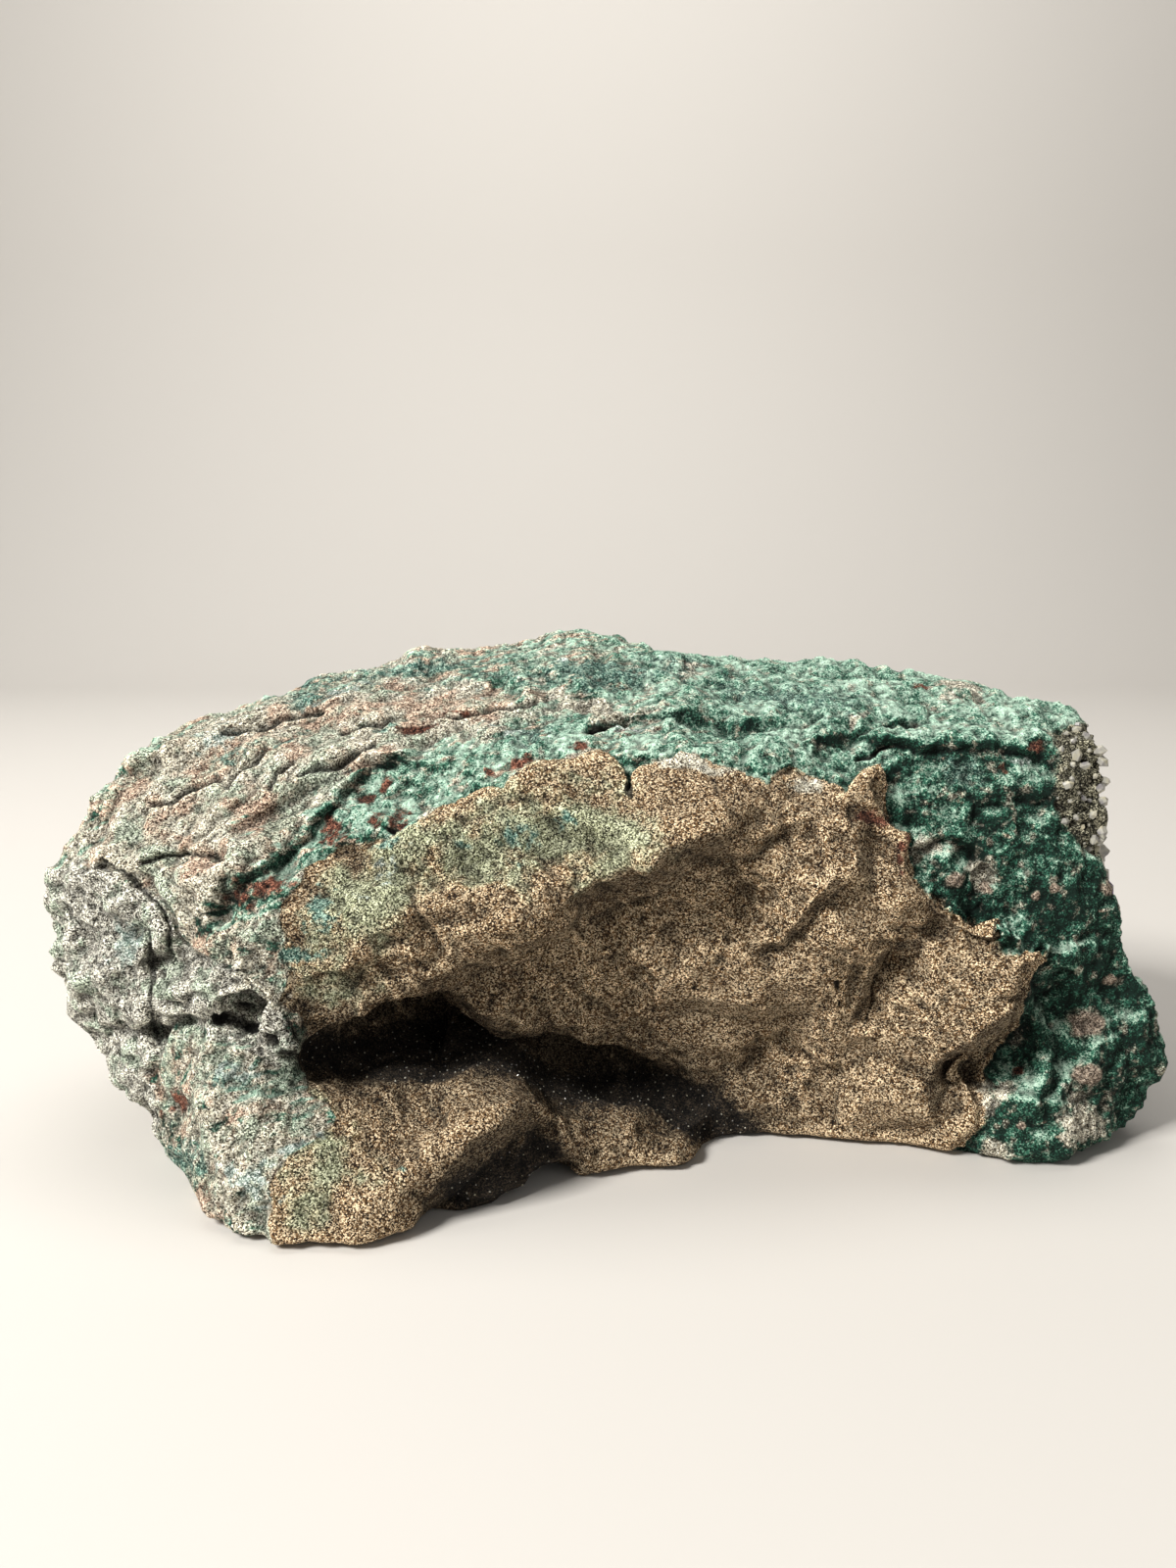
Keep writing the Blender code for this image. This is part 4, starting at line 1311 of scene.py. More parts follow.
@dataclass
class RockSkin:
    """The visible rock, in place of the node `matrix`.

    Attributes:
        view: the layout that its minerals are placed by.
        noise: the fields that break it up.
        voxel: size of its faces.
        slices: how many pieces it is shown as, side by side along X.
        crack_depth: depth of the cracks.
        pit_depth: depth of the pits.
        lining_depth: how deep the crevices' dark lies, which is part stain and part painted shadow.
        nodule_height: how far a nodule stands out.
        rust_depth: how deep the rust lies.
    """

    # The surface moves in and out at most this far, and along a scarp
    RANGE_MM = (-5.0, 2.4)
    SCARP_RANGE_MM = (-11.0, 2.0)
    # Which way a scarp moves it, beside its normal
    SCARP_WAY = (0.25, 1.0, 0.5)
    SCARP_END = 0.18
    # How far a point stands out where its relief is marked as full
    FULL_RELIEF = 0.30 * MM
    # Y in mm between which the front's layout gives way to the back's
    FRONT_ENDS_MM = (42, 60)
    SCARPS_END_MM = (48, 32)
    # X in mm between which the broken face gets a crisp edge
    EDGE_STARTS_MM = (-100, -80)
    # A region's mark behind, where it lies on the front alone, and the largest mark
    NOT_BEHIND_MM = -60
    MARK_MM = 30

    view: FrontView
    noise: Noise
    voxel: float = 1.12 * MM
    slices: int = 4
    crack_depth: float = 2.6 * MM
    pit_depth: float = 2.4 * MM
    lining_depth: float = 0.9 * MM
    nodule_height: float = 0.9 * MM
    rust_depth: float = 0.5 * MM

    def build(self, source: bpy.types.Object) -> tuple[Surface, dict[str, Numbers]]:
        """Builds the rock's pieces from the CAD node's mesh.

        Args:
            source: the CAD node's object, which is only read.

        Returns:
            The whole surface, and its marks by name.
        """
        surface = self._dense_copy(source)
        surface.smooth(6)
        marks = self._regions(surface.points)
        surface.points = self._moved(surface, marks)
        normals = surface.normals()
        # The finish paints raised points paler and sunk ones darker from this: painted light and shade
        marks["relief"] = self._relief(surface, normals)
        # How far each point faces up, which the finish paints paler as painted light
        marks["dusty"] = smoothstep(0.1, 0.8, surface.averaged(normals)[:, 2])
        self._slice(surface, normals, marks)
        return surface, marks

    def _dense_copy(self, source: bpy.types.Object) -> Surface:
        """Gives the node's surface small even faces.

        Args:
            source: the CAD node's object.

        Returns:
            The surface.
        """
        bm = bmesh.new()
        bm.from_mesh(source.data)
        bmesh.ops.remove_doubles(bm, verts=bm.verts, dist=0.01 * MM)
        obj = object_from("rock", bm)
        remesh = obj.modifiers.new("dense", "REMESH")
        remesh.mode = "VOXEL"
        remesh.voxel_size = self.voxel
        surface = Surface.of(made_real(obj).data)
        bpy.data.objects.remove(obj)
        return surface

    def _warped(self, points: Numbers, amount_mm: float, size: float, seed: int) -> Numbers:
        """Gives the points' places on the front, each moved a little so that outlines turn ragged.

        Args:
            points: the points.
            amount_mm: how far they are moved.
            size: size of the raggedness.
            seed: which fields move them.

        Returns:
            The places.
        """
        moved = [self.noise.layered(points, size, 3, seed + 10 * k) for k in (0, 1)]
        return self.view.places(points) + amount_mm * np.stack(moved, axis=1)

    def _regions(self, points: Numbers) -> dict[str, Numbers]:
        """Works out where the regions lie.

        Args:
            points: the points.

        Returns:
            Each region's mark at the points, positive inside it.
        """
        ragged = self.noise.layered(points, 9 * MM, 4, 40)
        slow = self.noise.layered(points, 60 * MM, 3, 43)
        x, y, z = points.T / MM
        behind = smoothstep(*self.FRONT_ENDS_MM, y + 9 * ragged)
        crisp = self._warped(points, 1.6, 5 * MM, 41)
        loose = self._warped(points, 7.0, 14 * MM, 71)
        merging = smoothstep(-82, -100, loose[:, 0])

        fresh_ahead = depth_inside(crisp + (loose - crisp) * (1.6 * merging)[:, None], FRESH_FACE)
        fresh_behind = 88 + 60 * slow + 10 * ragged - z
        weathered_behind = -150 + 24 * slow + 12 * ragged - x
        earthy_behind = 0.34 + 0.55 * slow
        edge_on = smoothstep(186, 200, x + 6 * ragged)
        earthy = 0.50 - 0.46 * smoothstep(-70, 85, loose[:, 0]) + 0.25 * slow
        for outline, more in EARTHY_AREAS:
            earthy += more * smoothstep(-3, 6, depth_inside(loose, outline))
        olive = np.maximum(depth_inside(loose, OLIVE_STAIN), depth_inside(loose, OLIVE_LOBE) - 8)
        stain_and_shadow = np.maximum(depth_inside(crisp, CREVICE_STAIN_AND_SHADOW), depth_inside(crisp, FOOT_STAIN_AND_SHADOW))
        marks = {
            "fresh": fresh_ahead * (1 - behind) + fresh_behind * behind - self.MARK_MM * edge_on,
            "weathered": depth_inside(loose, WEATHERED_END) * (1 - behind) + weathered_behind * behind,
            "earthy": earthy * (1 - behind) + earthy_behind * behind,
            "druse": depth_inside((crisp + loose) / 2, OPEN_DRUSE) + self.NOT_BEHIND_MM * behind,
            "olive": olive + self.NOT_BEHIND_MM * behind,
            # The mark `lining` is the crevices' dark: part stain, part painted shadow
            "lining": stain_and_shadow + self.NOT_BEHIND_MM * behind,
        }
        for mineral, ovals in PATCHES.items():
            places = crisp if mineral in (Mineral.NODULE, Mineral.PIT) else loose
            marks[mineral.value] = inside_ovals(places, ovals) * (1 - behind) + FAR_OUTSIDE * behind
        for mineral, size, rarity in ((Mineral.TEAL, 26 * MM, 0.75), (Mineral.RUST, 13 * MM, 1.25)):
            scattered = 2.4 * self.noise.layered(points, size, 3, 90 + int(size / MM)) - rarity
            scattered = scattered * behind + FAR_OUTSIDE * (1 - behind)
            marks[mineral.value] = np.maximum(marks[mineral.value], scattered)
        return {name: np.clip(values, -self.MARK_MM, self.MARK_MM) for name, values in marks.items()}

    def _moved(self, surface: Surface, marks: dict[str, Numbers]) -> Numbers:
        """Moves the points out or in: facets, crust, scarps, cracks and pits.

        Args:
            surface: the smooth surface.
            marks: its regions, to which the mark `shade`, painted shade in the furrows and cracks, is added.

        Returns:
            The moved points.
        """
        points = surface.points
        places = self._warped(points, 1.3, 6 * MM, 81)
        height = self._broken_up(points, marks, smoothstep(*self.EDGE_STARTS_MM, places[:, 0]))
        front = smoothstep(*(y * MM for y in self.SCARPS_END_MM), points[:, 1])
        # The mark `shade` is painted shade: it darkens the furrows' steep sides and the cracks
        scarped, shade = np.zeros(len(points)), np.zeros(len(points))
        for scarp in SCARPS:
            away, side, share = nearest_on(places, scarp.line)
            ends = smoothstep(0, self.SCARP_END, share) * smoothstep(1, 1 - self.SCARP_END, share)
            ends = ends * front * (1 - smoothstep(-1, 1, marks["druse"]))
            scarped += scarp.profile(away, side) * MM * ends
            shade = np.maximum(shade, scarp.shade(away, side) * ends)
        width = 1.3 + 0.7 * self.noise.layered(points, 9 * MM, 2, 62)
        for crack in CRACKS:
            cut = front * np.clip(1 - nearest_on(places, crack)[0] / width, 0, 1)
            height -= self.crack_depth * cut
            # Painted shade in the cracks
            shade = np.maximum(shade, 1.3 * cut)
        marks["shade"] = shade
        height -= self.pit_depth * np.clip(marks[Mineral.PIT.value] + 0.3, 0, 1)
        height -= self.lining_depth * smoothstep(-2, 5, marks["lining"])
        height += self.nodule_height * smoothstep(-0.1, 0.4, marks[Mineral.NODULE.value])
        height -= self.rust_depth * smoothstep(-0.1, 0.4, marks[Mineral.RUST.value])

        off_floor = smoothstep(0.5 * MM, 4 * MM, points[:, 2])
        normals = surface.normals()
        # A scarp moves the surface in or out mostly straight ahead, so that the outlines stay over it.
        ahead = normals * self.SCARP_WAY
        ahead /= np.linalg.norm(ahead, axis=1)[:, None]
        for way, amount, (low, high) in (
            (normals, height, self.RANGE_MM),
            (ahead, scarped, self.SCARP_RANGE_MM),
        ):
            points = points + way * (np.clip(amount, low * MM, high * MM) * off_floor)[:, None]
        points[:, 2] = np.maximum(points[:, 2], 0)
        return points

    def _broken_up(self, points: Numbers, marks: dict[str, Numbers], edged: Numbers) -> Numbers:
        """Gives the heights of the kinds of ground, each where it lies.

        Args:
            points: the points.
            marks: the regions.
            edged: how crisp the broken face's edge is at each point, from 0 to 1.

        Returns:
            The heights.
        """
        noise = self.noise
        wander = [noise.layered(points, 12 * MM, 3, 20 + k) for k in range(3)]
        bent = points + 2.4 * MM * np.stack(wander, axis=1)
        turned = bent @ np.array(Euler((0, 0, math.radians(STREAK_TURN_DEG))).to_matrix())
        height = CRUSTY.height(noise, points, bent) - 1.5 * MM * (noise.cells(points, 3.0 * MM, 56) - 0.5)
        plates = noise.facets(turned * (PLATE_LENGTH, 1.0, 1.0), *PLATE_FACETS)
        height += smoothstep(0.5, 0.8, marks["earthy"]) * (plates - 0.6 * height)
        pitted = PITTED.height(noise, points, bent)
        pitted -= 1.6 * MM * smoothstep(0.26, 0.12, noise.cells(points, 7 * MM, 59))
        gappy = GAPPY.height(noise, points, bent)
        gappy -= 2.4 * MM * smoothstep(0.40, 0.20, noise.cells(bent, 5.4 * MM, 61))
        for other, there in (
            (BROKEN.height(noise, points, bent), smoothstep(-0.6, 0.6, marks["fresh"] * (0.1 + 0.9 * edged))),
            (pitted, smoothstep(-2, 2, marks["weathered"])),
            (gappy, smoothstep(-1, 1, marks["druse"])),
        ):
            height += (other - height) * there
        inner, outer = 1.1 * np.exp(-marks["fresh"] / 14), -0.7 * np.exp(marks["fresh"] / 8)
        return height + MM * np.where(marks["fresh"] > 0, inner, outer) * edged

    @staticmethod
    def _relief(surface: Surface, normals: Numbers) -> Numbers:
        """Measures how far each point stands out from the mean of those near it.

        Args:
            surface: the finished surface.
            normals: the normal at each point.

        Returns:
            Numbers from -1 to 1.
        """
        mean = surface.points
        for _ in range(3):
            mean = surface.averaged(mean)
        out = ((surface.points - mean) * normals).sum(axis=1)
        return np.clip(out / RockSkin.FULL_RELIEF, -1, 1)

    def _slice(self, surface: Surface, normals: Numbers, marks: dict[str, Numbers]) -> None:
        """Makes the pieces, each with as many faces as the others.

        Args:
            surface: the finished surface.
            normals: the normal at each point.
            marks: the regions.
        """
        material = RockFinish().material()
        middles = surface.points[surface.faces, 0].mean(axis=1)
        bounds = np.quantile(middles, np.linspace(0, 1, self.slices + 1))
        bounds[-1] += 1
        for k, (low, high) in enumerate(zip(bounds, bounds[1:])):
            part, kept = surface.part((middles >= low) & (middles < high))
            own = {name: values[kept] for name, values in marks.items()}
            shown_as(part.as_object(f"rock_{k + 1}", normals[kept], **own), "matrix", material)


# ---------------------------------------------------------------------------- the crystals
@dataclass(frozen=True)
class Scatter:
    """Fine crystals that Geometry Nodes stand on a surface.

    Attributes:
        spacing: least distance between two of them.
        smallest: radius of the smallest.
        largest: radius of the largest.
        lean: how far they lean, in radians.
        seed: what their places, sizes and leans are drawn from.
    """

    # Most crystals for each square of the spacing
    DENSITY = 1.2

    spacing: float
    smallest: float
    largest: float
    lean: float = 0.5
    seed: int = 5

    def over(self, name: str, ground: Surface, material: bpy.types.Material) -> bpy.types.Object:
        """Makes the crystals as one plain mesh.

        Args:
            name: the new object's name.
            ground: what they stand on.
            material: what they are made of.

        Returns:
            The object.
        """
        obj = ground.as_object(name)
        shape = unit_crystal()
        obj.modifiers.new("stand crystals", "NODES").node_group = self._tree(shape, material)
        made_real(obj)
        bpy.data.objects.remove(shape)
        return obj

    def _tree(self, shape: bpy.types.Object, material: bpy.types.Material) -> bpy.types.GeometryNodeTree:
        """Builds the tree that stands the crystals.

        Args:
            shape: one crystal.
            material: what they are made of.

        Returns:
            The tree.
        """
        tree = bpy.data.node_groups.new("stand crystals", "GeometryNodeTree")
        tree.interface.new_socket("Geometry", in_out="INPUT", socket_type="NodeSocketGeometry")
        for name, kind, value in (
            ("Spacing", "NodeSocketFloat", self.spacing),
            ("Smallest", "NodeSocketFloat", self.smallest),
            ("Largest", "NodeSocketFloat", self.largest),
            ("Seed", "NodeSocketInt", self.seed),
        ):
            tree.interface.new_socket(name, in_out="INPUT", socket_type=kind).default_value = value
        tree.interface.new_socket("Geometry", in_out="OUTPUT", socket_type="NodeSocketGeometry")
        graph = Graph(tree)
        given = graph.node("NodeGroupInput").outputs
        spread = graph.node(
            "GeometryNodeDistributePointsOnFaces",
            {"distribute_method": "POISSON"},
            {
                "Mesh": given["Geometry"],
                "Distance Min": given["Spacing"],
                "Density Max": self.DENSITY / self.spacing**2,
                "Seed": given["Seed"],
            },
        )
        radius = graph.node(
            "FunctionNodeRandomValue",
            {"data_type": "FLOAT"},
            {2: given["Smallest"], 3: given["Largest"], "Seed": given["Seed"]},
        )
        low, high = (-self.lean, -self.lean, -math.pi), (self.lean, self.lean, math.pi)
        leans = graph.node("FunctionNodeRandomValue", {"data_type": "FLOAT_VECTOR"}, {0: low, 1: high})
        turn = graph.node("FunctionNodeEulerToRotation", None, {0: leans.outputs[0]})
        turned = graph.node(
            "FunctionNodeRotateRotation",
            {"rotation_space": "LOCAL"},
            {0: spread.outputs["Rotation"], 1: turn.outputs[0]},
        )
        stood = graph.node(
            "GeometryNodeInstanceOnPoints",
            None,
            {
                "Points": spread.outputs["Points"],
                "Instance": graph.node("GeometryNodeObjectInfo", None, {"Object": shape}).outputs["Geometry"],
                "Rotation": turned.outputs[0],
                "Scale": radius.outputs[1],
            },
        )
        real = graph.node("GeometryNodeRealizeInstances", None, {0: stood.outputs[0]})
        sockets = {"Geometry": real.outputs[0], "Material": material}
        painted = graph.node("GeometryNodeSetMaterial", None, sockets)
        graph.node("NodeGroupOutput", None, {0: painted.outputs[0]})
        return tree


@dataclass(frozen=True)
class CrystalShape:
    """The form of a six-sided crystal: its sides, then a point of broader and narrower faces.

    Attributes:
        foot: radius of its root, in radii of its sides.
        point: height of its point, in radii of its sides.
        most_point: the most of its whole height that the point takes.
        low_shoulder: how far up the point its broader faces start, where the narrower ones start at its foot.
        off_axis: how far its tip may lie off its axis, in radii.
        shoulder_mark: the mark `tip` at the foot of the point. It is 1 at the tip.
    """

    foot: float = 0.94
    point: float = 1.15
    most_point: float = 0.6
    low_shoulder: float = 0.8
    off_axis: float = 0.15
    shoulder_mark: float = 0.55

    def add(
        self,
        bm: bmesh.types.BMesh,
        frame: Matrix,
        radius: float,
        ends: tuple[float, float],
        source: random.Random,
    ) -> None:
        """Adds one crystal.

        Args:
            bm: what it is added to.
            frame: places the crystal, which stands on its own Z axis.
            radius: distance of its edges from that axis.
            ends: heights of its root and of its tip.
            source: draws how it is turned and how far its tip is off its axis.
        """
        marked = bm.verts.layers.float.get("tip") or bm.verts.layers.float.new("tip")
        turn = source.uniform(0, math.pi / 3)
        angles = [turn + k * math.pi / 3 for k in range(6)]
        corners = [(math.cos(angle) * radius, math.sin(angle) * radius) for angle in angles]
        root, tip = ends
        point = min(radius * self.point, (tip - root) * self.most_point)
        off = [source.uniform(-self.off_axis, self.off_axis) * radius for _ in range(2)]
        foot = [bm.verts.new(frame @ Vector((x * self.foot, y * self.foot, root))) for x, y in corners]
        shoulder = [
            bm.verts.new(frame @ Vector((x, y, tip - point * (1.0 if k % 2 else self.low_shoulder))))
            for k, (x, y) in enumerate(corners)
        ]
        apex = bm.verts.new(frame @ Vector((*off, tip)))
        for vert in shoulder:
            vert[marked] = self.shoulder_mark
        apex[marked] = 1.0
        bm.faces.new(foot[::-1])
        for k in range(6):
            j = (k + 1) % 6
            bm.faces.new((foot[k], foot[j], shoulder[j], shoulder[k]))
            bm.faces.new((shoulder[k], shoulder[j], apex))


QUARTZ_CRYSTAL = CrystalShape()


def standing(place: Vector, axis: Vector) -> Matrix:
    """Returns what stands a crystal at the place, along the axis."""
    return Matrix.Translation(place) @ axis.to_track_quat("Z", "Y").to_matrix().to_4x4()


def bevelled(name: str, bm: bmesh.types.BMesh, width: float) -> bpy.types.Object:
    """Makes an object of the bmesh with its edges bevelled, and frees it."""
    bmesh.ops.bevel(bm, geom=bm.edges[:], offset=width, segments=1, affect="EDGES")
    return object_from(name, bm)


def unit_crystal() -> bpy.types.Object:
    """Returns a crystal of radius 1, sunk a little into what it stands on."""
    bm = bmesh.new()
    QUARTZ_CRYSTAL.add(bm, Matrix(), 1.0, (-0.6, 1.7), random.Random(3))
    return object_from("unit_crystal", bm)


@dataclass
class Druse:
    """The crystals in the end hollow, in place of the node `amethyst_crust`.

    Attributes:
        centre: middle of the hollow's mouth.
        axis: direction out of the hollow.
        half_width: half the mouth's width, to the back.
        half_height: half the mouth's height.
        depth: the hollow's depth.
        clearance: gap between the rock and the bed.
        crust: thickness of the bed.
        spacing: least distance between two large points.
        radii: smallest and largest radius of the large points.
        root: how deep a point is sunk in the bed.
        rim_points: how many small points stand along the front edge of the mouth.
        rim_radii_mm: smallest and largest radius of those, before they are thinned out a little.
        rim_angles_deg: from where to where they stand, round the mouth from its front.
        tries: how many places are drawn for the large points.
    """

    LEVELS = 30
    SIDES = 120
    # How much of the bed's thickness lies inside, and how far its lip stands out of the mouth
    INNER = 0.92
    LIP = 2.2 * MM
    # Heights and sizes of the bed's buds and lumps
    BUDS = (1.1 * MM, 3.0 * MM)
    LUMPS = (0.9 * MM, 6 * MM)
    # How much a point leans in any direction, and is smaller at the mouth
    LEAN = 0.22
    SHRINK = 0.3

    centre: Vector
    axis: Vector
    half_width: float = 51 * MM
    half_height: float = 47 * MM
    depth: float = 30 * MM
    clearance: float = 0.3 * MM
    crust: float = 5.5 * MM
    spacing: float = 10.6 * MM
    radii: tuple[float, float] = (5.0 * MM, 8.0 * MM)
    root: float = 2.6 * MM
    rim_points: int = 34
    rim_radii_mm: tuple[float, float] = (1.1, 3.0)
    rim_angles_deg: tuple[float, float] = (-40, 72)
    tries: int = 2600

    def build(self) -> None:
        """Builds the bed, the fine quartz on it, the large points and the rim's points."""
        bed, lining = self._bed()
        quartz = QuartzFinish().material()
        fine = Scatter(1.9 * MM, 0.5 * MM, 1.7 * MM).over("fine_quartz", lining, quartz)
        pieces = (
            (bed, BedFinish().material()),
            (fine, None),
            (self._large_points(), AmethystFinish().material()),
            (self._rim(), quartz),
        )
        for obj, material in pieces:
            shown_as(obj, "amethyst_crust", material)

    def _frame(self) -> Matrix:
        """Returns the hollow's own frame: Z runs out through its mouth, X to the back and Y up."""
        side = Vector((0, 0, 1)).cross(self.axis).normalized()
        up = self.axis.cross(side)
        return Matrix.Translation(self.centre) @ Matrix((side, up, self.axis)).transposed().to_4x4()

    def _mouth(self, angle: float) -> float:
        """Returns the distance from the middle of the mouth to its edge."""
        oval = 1 / math.hypot(math.cos(angle) / self.half_width, math.sin(angle) / self.half_height)
        return oval * (1 + 0.05 * math.sin(3 * angle + 0.6) + 0.035 * math.sin(5 * angle + 2.1))

    def _bowl(self, share: float, angle: float, inset: float) -> Vector:
        """Gives a point of the bowl, in the hollow's frame.

        Args:
            share: how far up the bowl it lies: 0 is the bottom and 1 the mouth.
            angle: where it lies round the bowl.
            inset: how far inside the hollow's wall.

        Returns:
            The point.
        """
        radius = max(self._mouth(angle) - inset, 0) * math.sin(share * math.pi / 2)
        rise = -(self.depth - inset) * math.cos(share * math.pi / 2)
        return Vector((radius * math.cos(angle), radius * math.sin(angle), rise))

    def _bed(self) -> tuple[bpy.types.Object, Surface]:
        """Returns the bed, its two sides joined only at its lip, and its inner side alone."""
        near, far = self.clearance + self.crust * self.INNER, self.clearance
        shares = [(k + 0.5) / (self.LEVELS + 0.5) for k in range(self.LEVELS + 1)]
        rings = [(share, near, 0.0) for share in shares] + [(1.0, (near + far) / 2, self.LIP)]
        rings += [(share, far, 0.0) for share in reversed(shares)]
        frame = self._frame()
        points = [
            frame @ (self._bowl(share, 2 * math.pi * i / self.SIDES, inset) + Vector((0, 0, out)))
            for share, inset, out in rings
            for i in range(self.SIDES)
        ]
        faces = []
        for k, i in itertools.product(range(len(rings) - 1), range(self.SIDES)):
            j = (i + 1) % self.SIDES
            corners = ((k, i), (k, j), (k + 1, j), (k + 1, i))
            faces.append([ring * self.SIDES + side for ring, side in corners])
        bed = Surface(np.array(points), np.array(faces)[:, ::-1])
        field = Noise(9)
        tall, across = self.BUDS
        raised = tall * (0.5 - field.cells(bed.points, across, 70))
        tall, across = self.LUMPS
        raised = raised + tall * field.layered(bed.points, across, 3, 71)
        ring_of = np.repeat(np.arange(len(rings)), self.SIDES)
        bed.points += bed.normals() * (raised * (ring_of <= self.LEVELS + 1))[:, None]
        share = np.repeat([share for share, _, _ in rings], self.SIDES)
        lining, _ = bed.part((ring_of <= self.LEVELS)[bed.faces].all(axis=1))
        return bed.as_object("crystal_bed", share=share), lining

    def _large_points(self) -> bpy.types.Object:
        """Returns the large points, which lean inwards over the bed."""
        source = random.Random(7)
        frame = self._frame()
        bm = bmesh.new()
        for place, share in self._places(source):
            inward = -Vector((place.x, place.y, place.z * 2.2 - 10 * MM)).normalized()
            axis = Vector((inward.x * 0.8, inward.y * 0.8, abs(inward.z) + 0.35))
            axis += Vector([source.uniform(-self.LEAN, self.LEAN) for _ in range(3)])
            radius = source.uniform(*self.radii) * (1.08 - self.SHRINK * share)
            ends = (-self.root, radius * source.uniform(1.5, 2.3))
            QUARTZ_CRYSTAL.add(bm, frame @ standing(place, axis), radius, ends, source)
        return bevelled("amethyst_points", bm, 0.2 * MM)

    def _rim(self) -> bpy.types.Object:
        """Returns the small points along the front edge of the mouth."""
        source = random.Random(11)
        frame = self._frame()
        bm = bmesh.new()
        for _ in range(self.rim_points):
            angle = math.pi - math.radians(source.uniform(*self.rim_angles_deg))
            place = self._bowl(1, angle, self.clearance + self.crust * source.uniform(0.1, 1.0))
            axis = Vector([source.uniform(-0.9, 0.7) for _ in range(2)] + [1])
            radius = source.uniform(*self.rim_radii_mm) ** 1.1 * MM
            ends = (-self.root, radius * source.uniform(1.0, 2.0))
            QUARTZ_CRYSTAL.add(bm, frame @ standing(place, axis), radius, ends, source)
        return bevelled("rim_points", bm, 0.15 * MM)

    def _places(self, source: random.Random) -> list[tuple[Vector, float]]:
        """Draws places on the bowl for the large points, none nearer another than the spacing.

        Args:
            source: what they are drawn from.

        Returns:
            The places, each with how far up the bowl it lies.
        """
        chosen: list[tuple[Vector, float]] = []
        for _ in range(self.tries):
            share, angle = math.sqrt(source.uniform(0, 1)), source.uniform(0, 2 * math.pi)
            place = self._bowl(share, angle, self.clearance + self.crust)
            if all((place - other).length > self.spacing for other, _ in chosen):
                chosen.append((place, share))
        return chosen


# Each kind of loose crystal: its piece, the region that it stands in, and how
LOOSE_QUARTZ = (
    ("edge_quartz", "druse", Scatter(3.3 * MM, 0.3 * MM, 2.1 * MM, 1.0, 6)),
    ("sparkles", "lining", Scatter(2.6 * MM, 0.10 * MM, 0.34 * MM, 0.9, 8)),
)
# How far inside its region, and how high above the floor, a loose crystal has to stand
LOOSE_INSIDE_MM = 0.5
LOOSE_ABOVE_FLOOR = 1.5 * MM


def stand_loose_quartz(surface: Surface, marks: dict[str, Numbers]) -> None:
    """Adds the crystals that show on the rock itself: in the open druse and in the crevices' dark, which is
    part stain and part painted shadow.

    Args:
        surface: the whole rock's.
        marks: its regions.
    """
    quartz = QuartzFinish().material()
    for name, mark, scatter in LOOSE_QUARTZ:
        chosen = (marks[mark] > LOOSE_INSIDE_MM) & (surface.points[:, 2] > LOOSE_ABOVE_FLOOR)
        ground, _ = surface.part(chosen[surface.faces].all(axis=1))
        shown_as(scatter.over(name, ground, quartz), "matrix")


# Middle of the end hollow's mouth, from the layout's origin, and the direction out of it
MOUTH_MM = (184, 12, 97)
MOUTH_AXIS = (0.97, -0.08, 0.20)


# ---------------------------------------------------------------------------- the studio
@dataclass(frozen=True)
class Lamp:
    """A soft square light.

    Attributes:
        name: its name.
        place: where it hangs.
        size: its width.
        power: its power in watts.
        colour: its colour.
        target: what it looks at.
    """

    name: str
    place: tuple[float, float, float]
    size: float
    power: float
    colour: Colour = (1.0, 0.985, 0.955)
    target: tuple[float, float, float] = (0.0, 0.0, 0.08)


LAMPS = (
    Lamp("window", (-1.35, -0.93, 1.55), 0.60, 78.0),
    Lamp("room", (0.9, -1.1, 0.7), 1.4, 2.4),
    Lamp("wall", (0.0, 0.7, 2.2), 1.8, 42.0, (1.0, 0.98, 0.95), (0.0, 2.2, 0.6)),
)


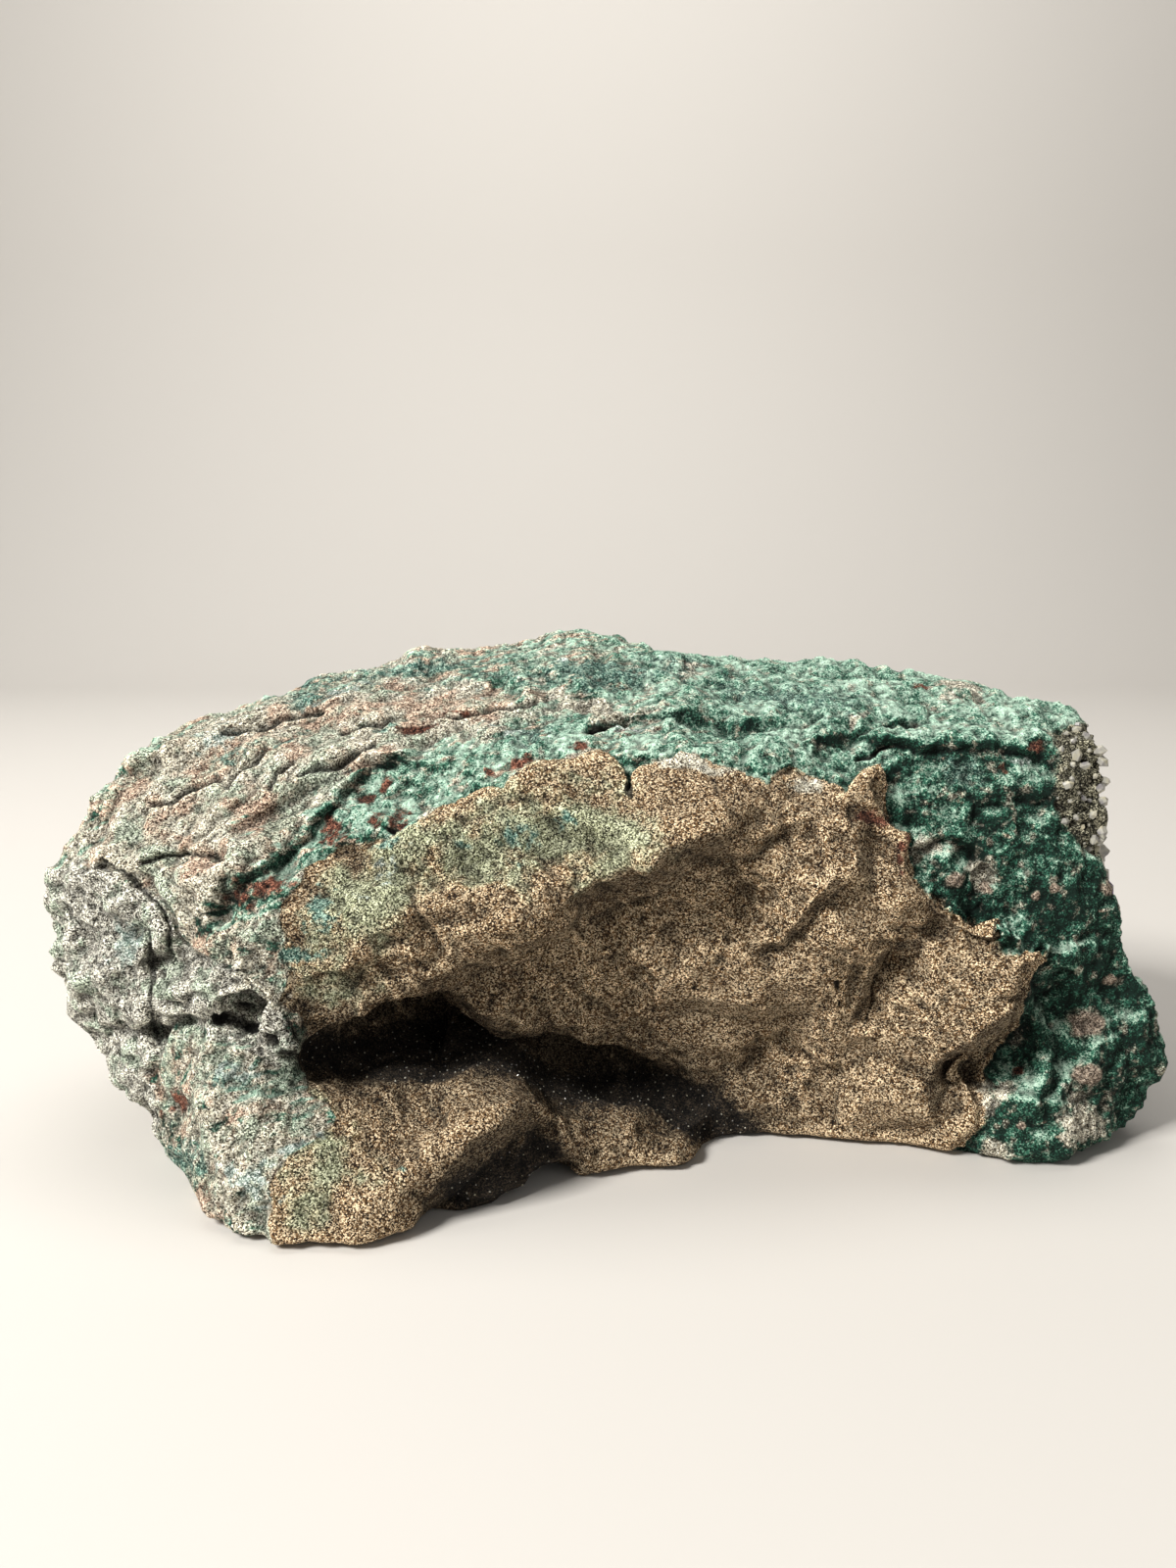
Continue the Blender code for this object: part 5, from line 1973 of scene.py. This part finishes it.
@dataclass
class Studio:
    """Floor, lights and camera round the block.

    Attributes:
        view: what the camera is set by.
        half_floor: half the floor's width.
        wall: distance of the upright part of the backdrop behind the block.
        cove: radius of the bend between the floor and that part.
        height: height of the top of that part.
        ambient: strength of the light from all round.
        ambient_colour: its colour.
        floor_colour: the floor's and the backdrop's colour.
    """

    view: FrontView
    half_floor: float = 4.0
    wall: float = 2.4
    cove: float = 0.9
    height: float = 4.0
    ambient: float = 0.20
    ambient_colour: Colour = (0.96, 0.95, 0.93)
    floor_colour: Colour = (0.56, 0.535, 0.50)

    def build(self) -> None:
        """Builds all of it."""
        self._floor()
        for lamp in LAMPS:
            self._light(lamp)
        self._camera()
        world = bpy.data.worlds.new("room")
        world.use_nodes = True
        background = world.node_tree.nodes["Background"]
        background.inputs["Color"].default_value = (*self.ambient_colour, 1)
        background.inputs["Strength"].default_value = self.ambient
        bpy.context.scene.world = world
        bpy.context.scene.view_settings.view_transform = "Standard"

    def _floor(self) -> None:
        """Builds the floor, which bends up into a plain backdrop."""
        angles = np.linspace(0, math.pi / 2, 25)
        bend = [(self.wall - self.cove * (1 - math.sin(a)), self.cove * (1 - math.cos(a))) for a in angles]
        profile = [(-self.half_floor, 0.0), *bend, (self.wall, self.height)]
        points = [(x, y, z) for y, z in profile for x in (-self.half_floor, self.half_floor)]
        faces = [(2 * k, 2 * k + 1, 2 * k + 3, 2 * k + 2) for k in range(len(profile) - 1)]
        floor = Surface(np.array(points), np.array(faces)).as_object("floor")
        floor.data.materials.append(Shader("pale floor", Roughness=0.7).finish(self.floor_colour))

    @staticmethod
    def _light(lamp: Lamp) -> None:
        """Hangs one lamp.

        Args:
            lamp: the lamp.
        """
        light = bpy.data.lights.new(lamp.name, "AREA")
        light.shape = "SQUARE"
        light.size = lamp.size
        light.energy = lamp.power
        light.color = lamp.colour
        obj = bpy.data.objects.new(lamp.name, light)
        obj.location = lamp.place
        obj.rotation_euler = (Vector(lamp.place) - Vector(lamp.target)).to_track_quat("Z", "Y").to_euler()
        bpy.context.scene.collection.objects.link(obj)

    def _camera(self) -> None:
        """Sets up the camera at the viewing point."""
        camera = bpy.data.cameras.new("front")
        camera.sensor_fit = "VERTICAL"
        camera.sensor_height = self.view.sensor_mm
        camera.lens = self.view.focal_mm
        camera.clip_start = 0.01
        obj = bpy.data.objects.new("front", camera)
        obj.location = self.view.eye()
        obj.rotation_euler = (math.radians(90 - self.view.pitch_deg), 0, 0)
        bpy.context.scene.collection.objects.link(obj)
        bpy.context.scene.camera = obj


def main() -> None:
    """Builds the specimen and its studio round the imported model."""
    logging.basicConfig(level=logging.INFO, format="%(relativeCreated)d ms %(message)s")
    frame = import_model()
    view = FrontView()
    surface, marks = RockSkin(view, Noise(4)).build(frame["nodes"]["matrix"])
    stand_loose_quartz(surface, marks)
    Druse(view.from_layout(MOUTH_MM), Vector(MOUTH_AXIS).normalized()).build()
    Studio(view).build()
    LOG.info("finished")


if __name__ == "__main__":
    main()
